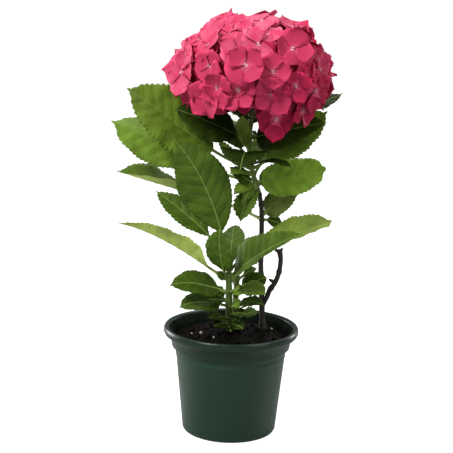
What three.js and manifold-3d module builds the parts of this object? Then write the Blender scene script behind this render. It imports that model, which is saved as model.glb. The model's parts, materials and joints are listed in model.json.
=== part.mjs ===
// Potted mophead hydrangea: one flowering stem, one young leafy shoot and a nursery pot.
// Millimetres, +Z up, origin at the centre of the pot's flat underside, -Y towards the front.

import * as THREE from 'three';
import { mergeVertices } from 'three/addons/utils/BufferGeometryUtils.js';
import Module from 'manifold-3d';

const wasm = await Module();
wasm.setup();

// Driving dimensions of the pot
const POT_HEIGHT = 121;
const POT_BASE_RADIUS = 53;
const POT_BASE_ROUND = 3;
const POT_BODY_RADIUS = 62.3;
const POT_BODY_HEIGHT = 94;
const COLLAR_RADIUS = 68.4;
const COLLAR_FLARE = 1.8;
const COLLAR_STEP = 4.5;
const LIP_RADIUS = 76;
const LIP_HEIGHT = 6;
const LIP_ROLL = 2.4;
const POT_WALL = 1.7;
const POT_SEGMENTS = 36;
const DRAIN_HOLES = 6;
const DRAIN_RADIUS = 5;
const DRAIN_RING_RADIUS = 36;

// Driving dimensions of the compost, a low mound
const COMPOST_TOP = 114;
const COMPOST_EDGE = 105;
const COMPOST_PLATEAU_RADIUS = 44;
const COMPOST_SHOULDER_RADIUS = 54;
const COMPOST_SHOULDER = 111;

// Clearance between solids that meet
const SEAT_GAP = 0.3;

// Driving dimensions of the leaves
const PETIOLE_RADIUS = 1.6;
const PETIOLE_TIP_SHARE = 0.5;
const PETIOLE_ANGLE = 30;
const PETIOLE_LEAD = 0.8;
const BOW_AT = 0.6;
const BOW_GAIN = 1.8;
const LEAF_THICKNESS_RATIO = 0.012;
const LEAF_MIN_THICKNESS = 1.1;
const WIDEST_AT = 0.47;
const TIP_SHARPNESS = 1.1;
const BLADE_FOLD = 8;
const FOLD_OVER = 0.2;
const ROUND_OVER = 0.25;
const TOOTH = 0.04;
const LARGE_LEAF_LENGTH = 75;
const LARGE_BLADE_RINGS = 10;
const SMALL_BLADE_RINGS = 7;
const PETIOLE_RINGS = 2;

// Driving dimensions of the flower head
const BLOOM_CENTRE = new THREE.Vector3(13, 0, 404);
const BLOOM_RADIUS = 85;
const BLOOM_RISE = 58;
const BLOOM_DROP = 46;
const CORE_SHARE = 0.7;
const PEDICEL_SHARE = 0.55;
const FLORET_RADIUS = 21;
const FLORET_CUP = 4;
const SEPAL_NOTCH = 0.68;
const FLORET_SIDES = 12;
const SEPALS = 4;
const FACING_ABOVE = 1.2;
const FACING_BELOW = 0.3;
const SPIRAL_FLORETS = 78;
const SPIRAL_SPACING = 17;
const SPIRAL_DEPTH = 1.5;
const SPIRAL_SHARES = [0.97, 1.05];
const SPIRAL_SIZES = [0.9, 1.1];
const STALK_HEIGHT = 20;
const STALK_FOOT_RADIUS = 2.4;
const STALK_TOP_RADIUS = 6;
const GOLDEN_ANGLE = Math.PI * (3 - Math.sqrt(5));

const UP = new THREE.Vector3(0, 0, 1);

const COLOURS = {
  pot: 0x24463a,
  compost: 0x17110d,
  wood: 0x3b2a22,
  green_stem: 0x5f7a35,
  leaf: 0x4c7a28,
  bloom: 0xdb3f6c,
};

const finish = (colour, roughness) =>
  new THREE.MeshStandardMaterial({ color: colour, roughness, metalness: 0 });

const vector = ([x, y, z]) => new THREE.Vector3(x, y, z);

// A repeatable scatter between 0 and 1 for a counting number.
const scatter = (n) => {
  const value = Math.sin(n * 12.9898) * 43758.5453;
  return value - Math.floor(value);
};

// Shared vertices are merged and triangles with no area are dropped, so the shell closes.
function closed(geometry) {
  geometry.deleteAttribute('normal');
  geometry.deleteAttribute('uv');
  const shell = mergeVertices(geometry, 1e-4);
  const index = [];
  for (let i = 0; i < shell.index.count; i += 3) {
    const [a, b, c] = [0, 1, 2].map((k) => shell.index.getX(i + k));
    if (a !== b && b !== c && c !== a) index.push(a, b, c);
  }
  shell.setIndex(index);
  shell.computeVertexNormals();
  return shell;
}

function toSolid(geometry) {
  const shell = closed(geometry);
  const mesh = new wasm.Mesh({
    numProp: 3,
    vertProperties: new Float32Array(shell.attributes.position.array),
    triVerts: new Uint32Array(shell.index.array),
  });
  return new wasm.Manifold(mesh);
}

function toGeometry(solid) {
  const mesh = solid.getMesh();
  const geometry = new THREE.BufferGeometry();
  geometry.setAttribute('position', new THREE.BufferAttribute(mesh.vertProperties, 3));
  geometry.setIndex(new THREE.BufferAttribute(mesh.triVerts, 1));
  geometry.computeVertexNormals();
  return geometry;
}

// Each vertex of a unit shape is moved to its place by a function of its old place.
function reshape(geometry, place) {
  const position = geometry.attributes.position;
  const vertex = new THREE.Vector3();
  for (let i = 0; i < position.count; i++) {
    vertex.fromBufferAttribute(position, i);
    const moved = place(vertex);
    position.setXYZ(i, moved.x, moved.y, moved.z);
  }
  return geometry;
}

function named(name, geometry, material) {
  const mesh = new THREE.Mesh(geometry, material);
  mesh.name = name;
  return mesh;
}

// Pot: a lathed wall with a collar and a rolled lip, and a ring of drain holes in its floor.
function potWall() {
  const outside = [
    [0, 0],
    [POT_BASE_RADIUS - POT_BASE_ROUND, 0],
    [POT_BASE_RADIUS - 0.4 * POT_BASE_ROUND, 0.3 * POT_BASE_ROUND],
    [POT_BASE_RADIUS, POT_BASE_ROUND],
    [POT_BODY_RADIUS, POT_BODY_HEIGHT],
    [POT_BODY_RADIUS + 0.5 * COLLAR_FLARE, POT_BODY_HEIGHT + 0.5 * COLLAR_STEP],
    [COLLAR_RADIUS - COLLAR_FLARE, POT_BODY_HEIGHT + COLLAR_STEP],
    [COLLAR_RADIUS, POT_HEIGHT - 2.2 * LIP_HEIGHT],
    [COLLAR_RADIUS + LIP_ROLL, POT_HEIGHT - 1.75 * LIP_HEIGHT],
    [LIP_RADIUS - 0.5 * LIP_ROLL, POT_HEIGHT - 1.4 * LIP_HEIGHT],
    [LIP_RADIUS, POT_HEIGHT - LIP_HEIGHT],
    [LIP_RADIUS, POT_HEIGHT - LIP_ROLL],
    [LIP_RADIUS - 0.5 * LIP_ROLL, POT_HEIGHT - 0.2 * LIP_ROLL],
    [LIP_RADIUS - 1.2 * LIP_ROLL, POT_HEIGHT],
    [LIP_RADIUS - 2 * LIP_ROLL, POT_HEIGHT - 0.3 * LIP_ROLL],
    [LIP_RADIUS - 2.6 * LIP_ROLL, POT_HEIGHT - LIP_ROLL],
  ];
  const inside = innerProfile(POT_WALL);
  const profile = [...outside, ...inside].map(([r, z]) => new THREE.Vector2(r, z));
  return new THREE.LatheGeometry(profile, POT_SEGMENTS).rotateX(Math.PI / 2);
}

// The inner wall from the lip down to the floor's centre, at a given depth behind the outer one.
function innerProfile(depth) {
  return [
    [COLLAR_RADIUS - depth, POT_HEIGHT - 2.2 * LIP_HEIGHT],
    [COLLAR_RADIUS - COLLAR_FLARE - depth, POT_BODY_HEIGHT + COLLAR_STEP],
    [POT_BODY_RADIUS - depth, POT_BODY_HEIGHT],
    [POT_BASE_RADIUS - depth, POT_BASE_ROUND + depth],
    [POT_BASE_RADIUS - POT_BASE_ROUND - depth, depth],
    [0, depth],
  ];
}

function pot() {
  let wall = toSolid(potWall());
  for (let i = 0; i < DRAIN_HOLES; i++) {
    const angle = (2 * Math.PI * (i + 0.5)) / DRAIN_HOLES;
    const hole = new THREE.CylinderGeometry(DRAIN_RADIUS, DRAIN_RADIUS, 4 * POT_WALL, 12);
    hole.rotateX(Math.PI / 2);
    hole.translate(DRAIN_RING_RADIUS * Math.cos(angle), DRAIN_RING_RADIUS * Math.sin(angle), 0);
    wall = wall.subtract(toSolid(hole));
  }
  return named('pot', toGeometry(wall), finish(COLOURS.pot, 0.45));
}

function compost() {
  const wall = innerProfile(POT_WALL + SEAT_GAP).slice(1).reverse();
  const top = [
    [COLLAR_RADIUS - 0.6 * COLLAR_FLARE - POT_WALL - SEAT_GAP, COMPOST_EDGE],
    [COMPOST_SHOULDER_RADIUS, COMPOST_SHOULDER],
    [COMPOST_PLATEAU_RADIUS, COMPOST_TOP],
    [0, COMPOST_TOP],
  ];
  const profile = [...wall, ...top].map(([r, z]) => new THREE.Vector2(r, z));
  const shape = new THREE.LatheGeometry(profile, POT_SEGMENTS).rotateX(Math.PI / 2);
  return named('compost', closed(shape), finish(COLOURS.compost, 0.95));
}

// Stems: centre line points with the radius at each, from the foot to the tip.
const STEM_FOOT = COMPOST_TOP + SEAT_GAP;

const STEMS = {
  old_stem: {
    sides: 10,
    steps: 22,
    colour: 'wood',
    path: [
      [36, 14, STEM_FOOT, 4.6],
      [35, 14, 124, 3.3],
      [34.2, 14, 145, 3.2],
      [32.1, 14, 178, 3],
      [31.4, 13, 206, 2.9],
      [31, 12, 241, 2.7],
      [29.8, 11, 258, 2.6],
      [27, 10.5, 272, 2.5],
    ],
  },
  flowering_shoot: {
    sides: 8,
    steps: 18,
    colour: 'green_stem',
    path: [
      [26.8, 10.4, 272.4, 2.7],
      [22, 9, 286, 2.5],
      [18.3, 8, 300, 2.4],
      [15, 7, 317, 2.3],
      [15.2, 6, 331, 2.2],
      [15.3, 5.5, 344, 2.2],
      [15, 5, 356, 2.2],
      [14.5, 5, 368, 2.3],
    ],
  },
  side_branch: {
    sides: 8,
    steps: 18,
    colour: 'wood',
    path: [
      [39.4, 12.2, 151.5, 2.4],
      [42, 11, 160.5, 2.9],
      [48, 8, 170, 2.8],
      [52.4, 6, 184, 2.7],
      [53.4, 5, 198, 2.7],
      [51.4, 5, 209, 3.4],
    ],
  },
  young_shoot: {
    sides: 8,
    steps: 14,
    colour: 'green_stem',
    path: [
      [-1, 8, STEM_FOOT, 4.2],
      [-2.2, 1, 128, 3.6],
      [-3, -7, 145, 3.4],
      [-3.8, -14, 165, 3.3],
      [-4.2, -20, 185, 3.2],
      [-4, -24, 196, 2.2],
    ],
  },
  second_shoot: {
    sides: 8,
    steps: 10,
    colour: 'green_stem',
    path: [
      [9, 12, STEM_FOOT, 3],
      [8, 6, 135, 2.3],
      [7.4, 1, 158, 2.1],
      [7.4, -3, 180, 1.5],
    ],
  },
};

const centreLine = (stem) => new THREE.CatmullRomCurve3(stem.path.map(vector));

function radiusAt(stem, t) {
  const place = t * (stem.path.length - 1);
  const before = Math.min(Math.floor(place), stem.path.length - 2);
  return THREE.MathUtils.lerp(stem.path[before][3], stem.path[before + 1][3], place - before);
}

// Where a height meets a stem: the centre, the direction of growth and the radius.
function stemAtHeight(stem, height) {
  const line = centreLine(stem);
  let low = 0;
  let high = 1;
  for (let i = 0; i < 30; i++) {
    const middle = (low + high) / 2;
    if (line.getPoint(middle).z < height) low = middle;
    else high = middle;
  }
  return { centre: line.getPoint(low), growth: line.getTangent(low), radius: radiusAt(stem, low) };
}

// One tapering limb: a cylinder whose rings follow the centre line, with both ends cut flat.
function limb(name) {
  const stem = STEMS[name];
  const line = centreLine(stem);
  const shape = new THREE.CylinderGeometry(1, 1, 1, stem.sides, stem.steps);
  reshape(shape, (vertex) => {
    const t = vertex.y + 0.5;
    const onLine = line.getPoint(t);
    const growth = t === 0 && stem.path[0][2] === STEM_FOOT ? UP : line.getTangent(t);
    const across = new THREE.Vector3(0, -1, 0).cross(growth).normalize();
    const back = new THREE.Vector3().crossVectors(across, growth);
    const radius = radiusAt(stem, t);
    return onLine.addScaledVector(across, radius * vertex.x).addScaledVector(back, radius * vertex.z);
  });
  return named(name, closed(shape), finish(COLOURS[stem.colour], 0.7));
}

// Leaves. `at` is the height of the node on the stem, `reach` runs from the node to the tip,
// `face` is the way the upper side looks, `arch` bows the midrib towards that side, `sway` bows
// it sideways, `fold` lifts the two halves about the midrib by so many degrees, `twist` turns
// the blade by its tip, `steep` is the angle at which the petiole leaves the stem, `widest` is
// the place of the full width along the blade, and a low `sharp` makes a blunt tip.
const LEAVES = [
  {
    name: 'leaf_under_bloom_front', stem: 'flowering_shoot', at: 357,
    reach: [-30, -58, 8], face: [0, 0, 1], arch: 9, width: 44, petiole: 12, steep: 10,
  },
  {
    name: 'leaf_under_bloom_right', stem: 'flowering_shoot', at: 356,
    reach: [106, 62, 24], face: [0, -0.3, 1], arch: -6, width: 34, petiole: 24, steep: 0,
    widest: 0.6,
  },
  {
    name: 'leaf_under_bloom_left', stem: 'flowering_shoot', at: 333,
    reach: [-84, -14, 32], face: [-0.2, -0.6, 0.8], arch: 4, width: 62, petiole: 12, steep: 0,
  },
  {
    name: 'leaf_right_shaded', stem: 'flowering_shoot', at: 334,
    reach: [82, -26, 22], face: [0.1, -0.75, 0.65], arch: 2, width: 50, petiole: 5, steep: 0,
    widest: 0.3, sharp: 1.0,
  },
  {
    name: 'leaf_upright', stem: 'flowering_shoot', at: 320,
    reach: [-8, -26, 36], face: [-0.3, -0.9, 0.2], arch: 2, width: 22, petiole: 4,
  },
  {
    name: 'leaf_front_short', stem: 'flowering_shoot', at: 313,
    reach: [-11, -74, -4], face: [0, -0.3, 1], arch: 14, width: 54, petiole: 12,
  },
  {
    name: 'leaf_left_high', stem: 'flowering_shoot', at: 303,
    reach: [-137, -23, 84], face: [-0.3, -0.6, 0.7], arch: 1, width: 72, petiole: 44, steep: 20,
    sharp: 0.9,
  },
  {
    name: 'leaf_right_high', stem: 'flowering_shoot', at: 300,
    reach: [81, 0, 65], face: [0.1, -0.6, 0.8], arch: -3, width: 48, petiole: 14, steep: 10,
    widest: 0.5, sharp: 0.85,
  },
  {
    name: 'leaf_left_middle', stem: 'flowering_shoot', at: 288,
    reach: [-159, -6, 61], face: [-0.3, -0.6, 0.7], arch: 3, width: 54, petiole: 42, steep: 10,
    fold: -12, widest: 0.6, sharp: 0.9,
  },
  {
    name: 'leaf_right_middle', stem: 'flowering_shoot', at: 284,
    reach: [77, -9, 19], face: [0.1, -0.8, 0.6], arch: -2, width: 46, petiole: 4, steep: 0,
    fold: -10, widest: 0.55, sharp: 0.55,
  },
  {
    name: 'leaf_left_level', stem: 'old_stem', at: 243,
    reach: [-164, 3, 49], face: [0, 0.5, 1], arch: 0, width: 46, petiole: 60, fold: 32,
    twist: -55, widest: 0.62,
  },
  {
    name: 'leaf_right_small', stem: 'old_stem', at: 250,
    reach: [40, 22, 24], face: [0.1, -0.8, 0.5], arch: 0, width: 28, petiole: 3, steep: 10,
    widest: 0.38, sharp: 0.8,
  },
  {
    name: 'leaf_centre_hanging', stem: 'flowering_shoot', at: 281,
    reach: [-17, -32, -36], face: [-0.3, -0.8, 0.4], arch: 4, width: 26, petiole: 8,
  },
  {
    name: 'leaf_centre_small', stem: 'flowering_shoot', at: 293,
    reach: [-26, -28, 4], face: [-0.2, -0.5, 0.8], arch: 4, width: 20, petiole: 6,
  },
  {
    name: 'leaf_front_large', stem: 'young_shoot', at: 193,
    reach: [-62, -41, 147], face: [0.1, -0.95, 0.3], arch: 4,
    width: 58, petiole: 44, steep: 85, sway: 12,
  },
  {
    name: 'leaf_right_bright', stem: 'young_shoot', at: 186,
    reach: [76, -73, 63], face: [-0.78, -0.4, 0.48], arch: 8, width: 48, petiole: 6, fold: 54,
    widest: 0.22, sharp: 0.9,
  },
  {
    name: 'leaf_right_long', stem: 'young_shoot', at: 190,
    reach: [115, 43, 49.5], face: [0.1, -0.32, 0.94], arch: 6, width: 40, petiole: 30, steep: 70,
    fold: 22, widest: 0.6, sharp: 0.55,
  },
  {
    name: 'leaf_left_shaded', stem: 'young_shoot', at: 184,
    reach: [-11, -26, 58], face: [-0.5, -0.8, 0.1], arch: 4, width: 36, petiole: 8, steep: 60,
    sharp: 0.9,
  },
  {
    name: 'leaf_left_light', stem: 'young_shoot', at: 180,
    reach: [-124, -12, 62], face: [0.2, 0.3, 1], arch: 9,
    width: 40, petiole: 22, fold: 40, widest: 0.36,
  },
  {
    name: 'leaf_left_inner', stem: 'young_shoot', at: 190,
    reach: [-84, 24, 83], face: [-0.3, -0.4, 0.85], arch: 11, width: 32, petiole: 44, steep: 88,
  },
  {
    name: 'leaf_behind_stem', stem: 'young_shoot', at: 175,
    reach: [45, 66, 22], face: [0.1, -0.3, 1], arch: 0, width: 26, petiole: 20, sway: -8,
  },
  {
    name: 'leaf_low_left', stem: 'young_shoot', at: 164,
    reach: [-65, -20, 10], face: [-0.1, -0.6, 0.8], arch: 11, width: 36, petiole: 8, widest: 0.42,
    sharp: 0.8,
  },
  {
    name: 'leaf_low_right', stem: 'young_shoot', at: 165,
    reach: [40, -30, 4], face: [0.1, -0.5, 0.9], arch: 8, width: 30, petiole: 4, sharp: 0.75,
    widest: 0.45,
  },
  {
    name: 'leaf_base_left', stem: 'young_shoot', at: 147,
    reach: [-55, -18, 0], face: [-0.1, -0.5, 0.8], arch: 9, width: 32, petiole: 8, widest: 0.42,
    sharp: 0.8,
  },
  {
    name: 'leaf_base_right', stem: 'young_shoot', at: 147,
    reach: [38, -20, 6], face: [0.1, -0.4, 0.9], arch: 6, width: 22, petiole: 6, sharp: 0.8,
  },
  {
    name: 'leaf_rounded_right', stem: 'second_shoot', at: 158,
    reach: [34, -2, 20], face: [0.1, -0.7, 0.7], arch: 8, width: 26, petiole: 5, sharp: 0.75,
    widest: 0.42,
  },
  {
    name: 'leaf_small_right', stem: 'second_shoot', at: 177,
    reach: [22, 2, 11], face: [0, -0.4, 0.9], arch: 3, width: 14, petiole: 4,
  },
  {
    name: 'leaf_base_dull', stem: 'second_shoot', at: 128,
    reach: [24, 2, 6], face: [0.1, -0.4, 0.9], arch: 3, width: 18, petiole: 4, sharp: 0.8,
  },
  {
    name: 'leaf_base_shaded', stem: 'young_shoot', at: 131,
    reach: [-22, -16, 2], face: [-0.1, -0.4, 0.9], arch: 5, width: 26, petiole: 4, sharp: 0.8,
  },
  {
    name: 'leaf_base_inner', stem: 'young_shoot', at: 150,
    reach: [-26, 22, 8], face: [-0.1, -0.4, 0.9], arch: 4, width: 22, petiole: 5, sharp: 0.8,
  },
  {
    name: 'leaf_right_narrow', stem: 'flowering_shoot', at: 305,
    reach: [44, -34, 1], face: [0.1, -0.2, 1], arch: 5, width: 20, petiole: 5,
  },
  {
    name: 'leaf_behind_shoot', stem: 'flowering_shoot', at: 336,
    reach: [18, 34, -20], face: [0.2, -0.5, 0.8], arch: 4, width: 26, petiole: 6, widest: 0.4,
  },
  {
    name: 'leaf_back_high', stem: 'flowering_shoot', at: 340,
    reach: [10, 96, 10], face: [0, 0.4, 0.9], arch: 12, width: 54, petiole: 18,
  },
  {
    name: 'leaf_back_left', stem: 'flowering_shoot', at: 310,
    reach: [-56, 92, 34], face: [-0.2, 0.4, 0.9], arch: 12, width: 60, petiole: 20,
  },
  {
    name: 'leaf_back_right', stem: 'flowering_shoot', at: 292,
    reach: [50, 98, 30], face: [0.2, 0.4, 0.9], arch: 12, width: 60, petiole: 20,
  },
  {
    name: 'leaf_back_low', stem: 'young_shoot', at: 172,
    reach: [6, 92, 50], face: [-0.1, 0.5, 0.9], arch: 10, width: 32, petiole: 26,
  },
];

// Share of the full width at a place along the blade, 0 at its base and 1 at its tip.
function bladeOutline(u, widest, sharpness) {
  const rise = (sharpness * widest) / (1 - widest);
  const curve = (s) => Math.pow(s, rise) * Math.pow(1 - s, sharpness);
  return curve(u) / curve(widest);
}

function midribOf(leaf) {
  const node = stemAtHeight(STEMS[leaf.stem], leaf.at);
  const reach = vector(leaf.reach);
  const heading = reach.clone().addScaledVector(node.growth, -reach.dot(node.growth)).normalize();
  const face = vector(leaf.face).normalize();
  const side = new THREE.Vector3().crossVectors(reach, face).normalize();
  const foot = node.centre.clone().addScaledVector(heading, node.radius + SEAT_GAP);
  const steep = THREE.MathUtils.degToRad(leaf.steep ?? PETIOLE_ANGLE);
  const lead = PETIOLE_LEAD * leaf.petiole;
  const leaving = foot.clone().addScaledVector(heading, lead * Math.cos(steep));
  leaving.addScaledVector(node.growth, lead * Math.sin(steep));
  const bow = foot.clone().addScaledVector(reach, BOW_AT);
  bow.addScaledVector(face, BOW_GAIN * leaf.arch);
  bow.addScaledVector(side, BOW_GAIN * (leaf.sway ?? 0));
  const tip = node.centre.clone().add(reach);
  return { line: new THREE.CubicBezierCurve3(foot, leaving, bow, tip), heading, face };
}

// A leaf is a thin box bent along its midrib: a round petiole first, then the toothed blade.
function leafSolid(leaf) {
  const { line, heading, face } = midribOf(leaf);
  const length = line.getLength();
  const bladeRings = length > LARGE_LEAF_LENGTH ? LARGE_BLADE_RINGS : SMALL_BLADE_RINGS;
  const rings = PETIOLE_RINGS + bladeRings;
  const share = leaf.petiole / length;
  const fold = THREE.MathUtils.degToRad(leaf.fold ?? BLADE_FOLD);
  const twist = THREE.MathUtils.degToRad(leaf.twist ?? 0);
  const widest = leaf.widest ?? WIDEST_AT;
  const sharpness = leaf.sharp ?? TIP_SHARPNESS;
  const thickness = Math.max(LEAF_MIN_THICKNESS, LEAF_THICKNESS_RATIO * length);
  const shape = new THREE.BoxGeometry(1, 1, 1, 2, rings, 1);
  reshape(shape, (vertex) => {
    const ring = Math.round((vertex.y + 0.5) * rings);
    const v = 2 * vertex.x;
    const u = Math.max(0, (ring - PETIOLE_RINGS) / bladeRings);
    const s = ring < PETIOLE_RINGS ? (share * ring) / PETIOLE_RINGS : share + (1 - share) * u;
    const along = ring === 0 ? heading : line.getTangentAt(s);
    const side = new THREE.Vector3().crossVectors(line.getTangentAt(s), face);
    side.addScaledVector(along, -side.dot(along)).normalize();
    side.applyAxisAngle(along, twist * u);
    const up = new THREE.Vector3().crossVectors(side, along);
    const tooth = u > 0 && u < 1 && Math.abs(v) === 1 ? (ring % 2 ? TOOTH : -TOOTH) : 0;
    const blade = 0.5 * leaf.width * bladeOutline(u, widest, sharpness) * (1 + tooth);
    const stalk = PETIOLE_RADIUS * THREE.MathUtils.lerp(1, PETIOLE_TIP_SHARE, u);
    const halfWidth = Math.max(stalk, blade);
    const round = Math.max(0, 1 - u / ROUND_OVER) * PETIOLE_RADIUS * (1 - v * v);
    const halfThickness = Math.max(0.5 * thickness, round);
    const raised = fold * Math.min(1, u / FOLD_OVER);
    const point = line.getPointAt(s).addScaledVector(side, v * halfWidth * Math.cos(raised));
    const lift = Math.abs(v) * halfWidth * Math.sin(raised);
    return point.addScaledVector(up, lift + Math.sign(vertex.z) * halfThickness);
  });
  return closed(shape);
}

// Florets that give the bloom its front: degrees round from the front, degrees above the rim,
// share of the dome's radius, size beside an ordinary floret, and degrees of turn.
const PLACED_FLORETS = [
  [-4, 15, 1.06, 1.15, 40],
  [15, 9, 1, 1, 10],
  [5, 37, 1.02, 1.1, 30],
  [-12, 32, 0.98, 1.05, 60],
  [-64, 22, 1, 0.95, 20],
  [-60, 0, 1.04, 1.1, 45],
  [-24, -11, 1.02, 0.95, 0],
  [-9, -13, 0.98, 1.05, 25],
  [15, -17, 1, 1.05, 50],
  [-36, -26, 1.06, 1, 5],
  [32, -6, 1.02, 0.8, 45],
  [44, 4, 0.98, 0.95, 15],
  [57, 9, 1.02, 1, 70],
  [70, 22, 0.97, 1, 30],
  [34, 32, 1.03, 1.1, 0],
  [60, 56, 1.03, 1, 45],
  [-42, 50, 1, 1.05, 10],
  [-42, 36, 0.98, 1, 55],
  [54, -17, 1.04, 1, 35],
  [27, -52, 1.24, 1.05, 10],
  [48, -40, 1.14, 0.8, 0],
  [-28, 64, 1.02, 1, 65],
  [20, 70, 1.03, 1, 20],
  [18, 52, 0.98, 1, 75],
  [-8, 52, 1, 0.9, 5],
  [-76, 12, 1, 0.9, 60],
  [-82, -4, 1, 0.85, 30],
  [80, -2, 0.98, 0.9, 80],
  [-33, 13, 0.94, 0.9, 35],
  [180, 86, 0.96, 1.1, 20],
  [79, 44, 1, 1, 15],
  [-77, 45, 0.98, 1, 50],
  [90, 70, 0.98, 1, 40],
  [53, 36, 0.95, 0.9, 65],
  [-128, 60, 1, 1, 70],
  [-98, -6, 1, 1, 25],
  [-102, -28, 1.02, 1, 60],
];

// A direction out of the dome, from the degrees round it and above its rim.
function domeDirection(round, above) {
  const [a, b] = [round, above].map(THREE.MathUtils.degToRad);
  return new THREE.Vector3(Math.sin(a) * Math.cos(b), -Math.cos(a) * Math.cos(b), Math.sin(b));
}

function onDome(direction, share) {
  const height = direction.z > 0 ? BLOOM_RISE : BLOOM_DROP;
  const semiAxes = new THREE.Vector3(BLOOM_RADIUS, BLOOM_RADIUS, height);
  return direction.clone().multiply(semiAxes).multiplyScalar(share).add(BLOOM_CENTRE);
}

// The rest of the florets follow a spiral down the dome, where no placed one stands already.
function bloomFlorets() {
  const placed = PLACED_FLORETS.map(([round, above, share, size, turn]) => (
    { direction: domeDirection(round, above), share, size, turn: THREE.MathUtils.degToRad(turn) }
  ));
  const spiral = [];
  const spacing = THREE.MathUtils.degToRad(SPIRAL_SPACING);
  for (let i = 0; i < SPIRAL_FLORETS; i++) {
    const z = 1 - (SPIRAL_DEPTH * (i + 0.5)) / SPIRAL_FLORETS;
    const ring = Math.sqrt(1 - z * z);
    const angle = i * GOLDEN_ANGLE;
    const direction = new THREE.Vector3(ring * Math.cos(angle), ring * Math.sin(angle), z);
    if (placed.some((floret) => floret.direction.angleTo(direction) < spacing)) continue;
    spiral.push({
      direction,
      share: THREE.MathUtils.lerp(...SPIRAL_SHARES, scatter(i)),
      size: THREE.MathUtils.lerp(...SPIRAL_SIZES, scatter(i + 200)),
      turn: 2 * Math.PI * scatter(i + 400),
    });
  }
  return [...placed, ...spiral];
}

// One floret: a cupped star of four broad sepals that narrows to its pedicel inside the core.
function floretSolid({ direction, share, size, turn }) {
  const facing = direction.z > 0 ? FACING_ABOVE : FACING_BELOW;
  const outward = direction.clone().setZ(facing * direction.z).normalize();
  const turned = new THREE.Quaternion().setFromUnitVectors(UP, outward);
  const eye = onDome(direction, share);
  const pedicel = onDome(direction, PEDICEL_SHARE);
  const shape = new THREE.CylinderGeometry(1, 0, 1, FLORET_SIDES, 1);
  reshape(shape, (vertex) => {
    if (vertex.y < 0) return pedicel.clone();
    const r = Math.hypot(vertex.x, vertex.z);
    const angle = Math.atan2(vertex.x, vertex.z);
    const side = Math.round((angle / (2 * Math.PI)) * FLORET_SIDES);
    const isNotch = side % (FLORET_SIDES / SEPALS) === 0;
    const radius = r * size * FLORET_RADIUS * (isNotch ? SEPAL_NOTCH : 1);
    const rim = new THREE.Vector3(radius, 0, r * FLORET_CUP).applyAxisAngle(UP, angle + turn);
    return rim.applyQuaternion(turned).add(eye);
  });
  return toSolid(shape);
}

// The bloom: a smaller core on a short stalk with florets standing out of it. A floret that
// would touch one of the leaves under the bloom is left out.
function flowerHead(leaves) {
  const core = reshape(new THREE.SphereGeometry(1, 20, 12), (vertex) => onDome(vertex, CORE_SHARE));
  const [footX, footY, footZ] = STEMS.flowering_shoot.path.at(-1);
  const stalk = new THREE.CylinderGeometry(STALK_TOP_RADIUS, STALK_FOOT_RADIUS, STALK_HEIGHT, 8);
  stalk.rotateX(Math.PI / 2);
  stalk.translate(footX, footY, footZ + SEAT_GAP + STALK_HEIGHT / 2);
  let head = toSolid(core).add(toSolid(stalk));
  const neighbours = leaves.map((mesh) => toSolid(mesh.geometry.clone()));
  for (const floret of bloomFlorets()) {
    const solid = floretSolid(floret);
    if (neighbours.every((leaf) => leaf.intersect(solid).isEmpty())) head = head.add(solid);
  }
  return named('flower_head', toGeometry(head), finish(COLOURS.bloom, 0.6));
}

const leaves = LEAVES.map((leaf) => named(leaf.name, leafSolid(leaf), finish(COLOURS.leaf, 0.6)));
const stems = Object.keys(STEMS).map(limb);

const plant = new THREE.Group();
plant.add(pot(), compost(), ...stems, ...leaves, flowerHead(leaves));

export default plant;
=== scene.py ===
# Potted mophead hydrangea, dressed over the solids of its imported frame. Tables and shapes are in
# millimetres, +Z up and -Y towards the front of the plant, with the origin under the middle of the
# pot. A piece is brought to metres when it is finished.

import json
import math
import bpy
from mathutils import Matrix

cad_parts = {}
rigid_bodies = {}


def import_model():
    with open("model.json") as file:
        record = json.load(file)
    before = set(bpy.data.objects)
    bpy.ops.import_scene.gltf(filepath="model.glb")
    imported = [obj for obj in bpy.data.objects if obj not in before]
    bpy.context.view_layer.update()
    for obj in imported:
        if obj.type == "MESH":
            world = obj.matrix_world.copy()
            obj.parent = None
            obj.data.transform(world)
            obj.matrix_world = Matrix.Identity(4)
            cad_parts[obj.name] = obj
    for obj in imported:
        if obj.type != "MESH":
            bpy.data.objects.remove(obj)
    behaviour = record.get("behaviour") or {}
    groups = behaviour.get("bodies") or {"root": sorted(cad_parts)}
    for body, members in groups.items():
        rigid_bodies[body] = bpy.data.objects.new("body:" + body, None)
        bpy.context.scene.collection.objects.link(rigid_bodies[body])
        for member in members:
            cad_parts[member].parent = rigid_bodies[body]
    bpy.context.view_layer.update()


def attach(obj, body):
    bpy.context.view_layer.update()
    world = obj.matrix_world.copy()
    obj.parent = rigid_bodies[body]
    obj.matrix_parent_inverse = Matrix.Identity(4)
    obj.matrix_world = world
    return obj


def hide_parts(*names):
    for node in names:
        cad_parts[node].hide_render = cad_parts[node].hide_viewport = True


bl_info = {
    "name": "Potted Hydrangea",
    "version": (1, 0, 0),
    "blender": (4, 5, 0),
    "location": "View3D > Sidebar > Hydrangea",
    "description": "Builds the pot, compost, stems, leaves and bloom of a potted hydrangea",
    "category": "Add Mesh",
}

from collections import namedtuple

import bmesh
import bpy
from bpy.props import FloatProperty, FloatVectorProperty, IntProperty, PointerProperty
from mathutils import Matrix, Quaternion, Vector, noise
from mathutils.bvhtree import BVHTree

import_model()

MM = 0.001
UP = Vector((0, 0, 1))

# Sizes of the pot, as in the solids
POT_HEIGHT = 121
POT_BASE_RADIUS = 53
POT_BASE_ROUND = 3
POT_BODY_RADIUS = 62.3
POT_BODY_HEIGHT = 94
COLLAR_RADIUS = 68.4
COLLAR_FLARE = 1.8
COLLAR_STEP = 4.5
LIP_RADIUS = 76
LIP_HEIGHT = 6
LIP_ROLL = 2.4
DRAIN_HOLES = 6
DRAIN_RADIUS = 5
DRAIN_RING_RADIUS = 36

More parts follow.
